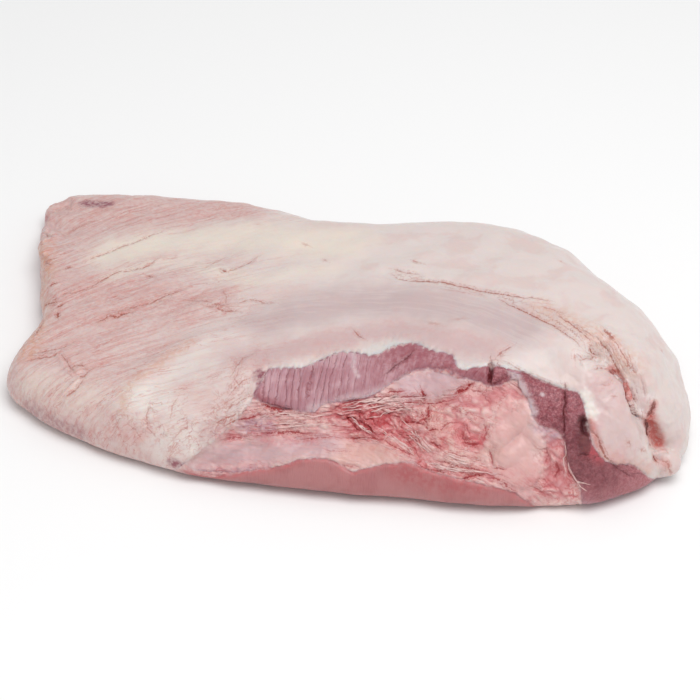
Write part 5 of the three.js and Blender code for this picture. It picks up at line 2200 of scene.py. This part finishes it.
@dataclass
class SinewStrands:
    """Thin pale strands that lie on the torn seam and over the foot of the point."""

    name: str = "sinew_strands"
    slot: str = "torn_fat"
    thickness: float = 0.42
    spacing: float = 1.3
    stray: float = 1.5
    corners_each: int = 14
    sway: float = 1.3
    stray_scale: float = 170.0
    lump_scale: float = 260.0
    sides: int = 6
    seed: int = 7
    bundles: str = """
        3 3 | 342,403 360,401 384,399 408,397 424,398
        4 3 | 338,411 352,408 370,404 390,402 418,401 446,399 466,394
        3 3 | 346,416 356,423 366,430 374,433
        4 4 | 366,414 384,411 404,407 424,404
        4 5 | 380,432 394,440 406,448 416,457
        3 5 | 400,424 412,434 424,445 438,456
        4 4 | 420,462 440,467 468,471 498,476
        3 5 | 434,452 454,458 480,464 502,470
        3 3 | 242,418 270,414 304,416 334,412
        3 3 | 262,428 290,426 320,424 342,421
        3 4 | 352,437 372,439 392,446 410,456
        3 4 | 506,480 526,487 546,494
        2 3 | 430,396 446,392 462,384
        2 2.4 | 567,458 570,471 578,481 590,484 599,480
        1 2 | 572,478 580,487 588,492 595,489
        1 1.6 | 564,436 565,450 564,464 568,478 575,490
    """

    def build(self, spotter: Spotter, skin: BVHTree, material: bpy.types.Material) -> Object:
        """Lays the strands over the finished skin.

        Args:
            spotter: Finds what lies under a pixel.
            skin: The finished skin.
            material: The strands' material.

        Returns:
            The strands, as one mesh.
        """
        draw = np.random.default_rng(self.seed)
        points, edges = [], []
        for (count, spread), pixels in read_rows(self.bundles):
            guide, aside = np.array(pixels), float(spread)
            for _ in range(int(count)):
                ends = np.sort(draw.uniform(0, 1, 2)) * 0.45 + np.array([0.0, 0.55])
                places = np.linspace(ends[0], min(ends[1], 1.0), self.corners_each) * (len(guide) - 1)
                line = np.stack([np.interp(places, np.arange(len(guide)), guide[:, k]) for k in (0, 1)], -1)
                line += draw.uniform(-aside, aside, 2) * np.array([0.6, 1.0])
                line[:, 1] += self.sway * np.sin(places * draw.uniform(1.5, 3.0) + draw.uniform(0, 6))
                laid = [self._drop(skin, p) for p in spotter.path([tuple(px) for px in line])]
                edges += [(len(points) + k, len(points) + k + 1) for k in range(len(laid) - 1)]
                points += laid
        mesh = bpy.data.meshes.new(self.name)
        mesh.from_pydata(((np.array(points) - SHIFT) * MM).tolist(), edges, [])
        made = linked(self.name, mesh)
        self._tree(material).apply_to(made)
        LOG.info("%s: %d faces", made.name, len(made.data.polygons))
        return made

    @staticmethod
    def _drop(skin: BVHTree, p: Array) -> Array:
        """The nearest point of the finished skin."""
        return np.array(skin.find_nearest(Vector(p))[0])

    def _tree(self, material: bpy.types.Material) -> FleshTree:
        """Turns lines into tapered strands that stray a little and vary in thickness."""
        t = FleshTree("strand_maker", {
            "Thickness": (NUMBER, self.thickness * MM), "Spacing": (NUMBER, self.spacing * MM),
            "Stray": (NUMBER, self.stray * MM), "Material": ("NodeSocketMaterial", material)})
        curve = t.add("GeometryNodeMeshToCurve", {"Mesh": t.given["Mesh"]}).outputs[0]
        steps = {"Curve": curve, "Length": t.given["Spacing"]}
        even = t.add("GeometryNodeResampleCurve", steps, mode="LENGTH").outputs[0]
        strays = {0: t.wander(self.stray_scale), "Scale": t.given["Stray"]}
        stray = t.add("ShaderNodeVectorMath", strays, operation="SCALE").outputs[0]
        bent = t.add("GeometryNodeSetPosition", {"Geometry": even, "Offset": stray}).outputs[0]
        along = t.add("GeometryNodeSplineParameter").outputs["Factor"]
        taper = t.math("POWER", t.product(along, t.math("SUBTRACT", 1.0, along), 4.0), 0.4)
        uneven = t.add("ShaderNodeTexNoise", {"Scale": self.lump_scale}).outputs["Fac"]
        thick = t.product(t.given["Thickness"], taper, t.ramp(uneven, 0.3, 0.7, 0.5, 1.3))
        outline = {"Resolution": self.sides, "Radius": 1.0}
        ring = t.add("GeometryNodeCurvePrimitiveCircle", outline).outputs[0]
        tube = t.add("GeometryNodeCurveToMesh", {"Curve": bent, "Profile Curve": ring, "Scale": thick,
                                                 "Fill Caps": True})
        t.finish(tube.outputs[0])
        return t


# ------------------------------ the studio


@dataclass(frozen=True)
class Studio:
    """A pale floor, even light from all round and one large soft lamp."""

    floor_half: float = 6.0
    floor_colour: tuple = paint(245, 245, 245)
    surround: float = 0.62
    lamp_power: float = 24.0
    lamp_size: float = 1.6
    lamp_place: tuple[float, float, float] = (0.5, -0.5, 1.9)

    def build(self) -> None:
        """Makes the floor, the surrounding light and the lamp."""
        half = self.floor_half
        mesh = bpy.data.meshes.new("floor")
        ends = [(-half, -half, 0), (half, -half, 0), (half, half, 0), (-half, half, 0)]
        mesh.from_pydata(ends, [], [(0, 1, 2, 3)])
        floor = linked("floor", mesh)
        finish = bpy.data.materials.new("floor")
        finish.use_nodes = True
        shader = finish.node_tree.nodes["Principled BSDF"]
        shader.inputs["Base Color"].default_value = self.floor_colour
        shader.inputs["Roughness"].default_value = 0.9
        mesh.materials.append(finish)
        world = bpy.data.worlds.new("surround")
        world.use_nodes = True
        world.node_tree.nodes["Background"].inputs["Color"].default_value = (1.0, 1.0, 1.0, 1.0)
        world.node_tree.nodes["Background"].inputs["Strength"].default_value = self.surround
        bpy.context.scene.world = world
        data = bpy.data.lights.new("soft_lamp", "AREA")
        data.shape = "DISK"
        data.size = self.lamp_size
        data.energy = self.lamp_power
        lamp = linked("soft_lamp", data)
        lamp.location = self.lamp_place
        lamp.rotation_euler = Vector(self.lamp_place).to_track_quat("Z", "Y").to_euler()
        bpy.context.scene.view_settings.view_transform = "Standard"


# ------------------------------ the brisket


@dataclass
class Brisket:
    """The whole brisket: the skin, cut into its four layers and dressed, with strands on the seam."""

    meat: WholeMeat = field(default_factory=WholeMeat)
    coverings: tuple[Covering, ...] = field(
        default_factory=lambda: (FatCap(), PointMuscle(), SeamFat(), FlatMuscle()))
    strands: SinewStrands = field(default_factory=SinewStrands)

    def build(self) -> None:
        """Makes and dresses the four layers, and lays the strands on them."""
        whole = self.meat.build(self.coverings, STROKES)
        faces = [list(face.vertices) for face in whole.data.polygons]
        skin = BVHTree.FromPolygons(corners(whole.data).tolist(), faces)
        pieces = self._cut(whole)
        for covering in self.coverings:
            piece = pieces[covering.layer]
            self._store(piece)
            piece.data.materials.clear()
            piece.data.materials.append(Finish(covering.layer, covering.slot).material())
            piece.data.shade_smooth()
            piece.data.set_sharp_from_angle(angle=math.radians(SHARP_FROM))
            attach(piece, "root")
            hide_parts(covering.layer.value)
            LOG.info("%s: %d faces", piece.name, len(piece.data.polygons))
        sinew = Finish(Layer.SEAM, "sinew", soak=0.0).material()
        strands = self.strands.build(self.meat.spotter, skin, sinew)
        self._store(strands, loose=True)
        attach(strands, "root")

    def _cut(self, whole: Object) -> dict[Layer, Object]:
        """Cuts the skin off level underneath and along the three sheets."""
        ground = self._floor_block()
        rest = intersect(whole, ground, False, "body")
        discard(whole, ground)
        pieces = {}
        for layer in (Layer.FAT_CAP, Layer.POINT, Layer.SEAM):
            above = SheetCut(layer).block()
            pieces[layer] = intersect(rest, above, True, f"{layer.value}_dressed")
            under = intersect(rest, above, False, f"under_{layer.value}")
            discard(rest, above)
            rest = under
        rest.name = "flat_muscle_dressed"
        pieces[Layer.FLAT] = rest
        return pieces

    @staticmethod
    def _floor_block() -> Object:
        """A block below the surface that the meat lies on."""
        low, high = np.array([-400.0, -300.0, -40.0]), np.array([400.0, 300.0, 0.0])
        points = np.array([[(low, high)[i][0], (low, high)[j][1], (low, high)[k][2]]
                           for k in (0, 1) for j in (0, 1) for i in (0, 1)])
        faces = np.array([(0, 2, 3, 1), (4, 5, 7, 6), (0, 1, 5, 4), (2, 6, 7, 3), (0, 4, 6, 2), (1, 3, 7, 5)])
        return linked_mesh("below_floor", points, faces)

    def _store(self, piece: Object, loose: bool = False) -> None:
        """Stores on a piece what its material reads.

        Args:
            piece: The piece.
            loose: Whether it lies on the meat instead of being cut from it.
        """
        mesh = piece.data
        if loose:
            rest, facing = corners(mesh), corner_normals(mesh)
            store(mesh, "relief", np.full(len(rest), STRAND_RELIEF))
        else:
            fill_cut_edge(mesh)
            rest, facing = stored(mesh, "rest"), stored(mesh, "facing")
            lost = np.linalg.norm(facing, axis=1) < 0.1
            facing /= np.maximum(np.linalg.norm(facing, axis=1), 1e-6)[:, None]
            rest[lost] = corners(mesh)[lost]
            facing[lost] = (0.0, 0.0, 1.0)
        ground = Ground(rest, facing)
        kept = {"on_cap": ground.over[Layer.FAT_CAP], "on_point": ground.over[Layer.POINT],
                "on_seam": ground.over[Layer.SEAM], "across_flat": ground.x}
        none, full = np.zeros(len(rest)), np.ones(len(rest))
        if loose:
            kept.update(on_cap=none, on_point=none, on_seam=full)
            kept.update(line_ink=none, line_beside=full * STROKE_REACH)
        else:
            kept.update(marks(self.meat.traced, ground))
        for covering in self.coverings:
            here = ground.share[covering.layer] > SHOWN_FROM
            if loose:
                here = np.full(len(rest), covering.layer is Layer.SEAM)
            for name, values in covering.masks(ground.part(here)).items():
                kept[name] = np.zeros((len(rest), *values.shape[1:]))
                kept[name][here] = values
        if loose:
            kept.update(border=full, blood=full * STRAND_BLOOD, yellowish=none)
        for name, values in kept.items():
            store(mesh, name, values)


def main() -> None:
    """Builds and dresses the brisket, and sets up the studio and the camera."""
    logging.basicConfig(level=logging.INFO, format="%(relativeCreated)d ms %(message)s")
    VIEW.place_camera()
    Studio().build()
    Brisket().build()
    LOG.info("size written")


if __name__ == "__main__":
    main()
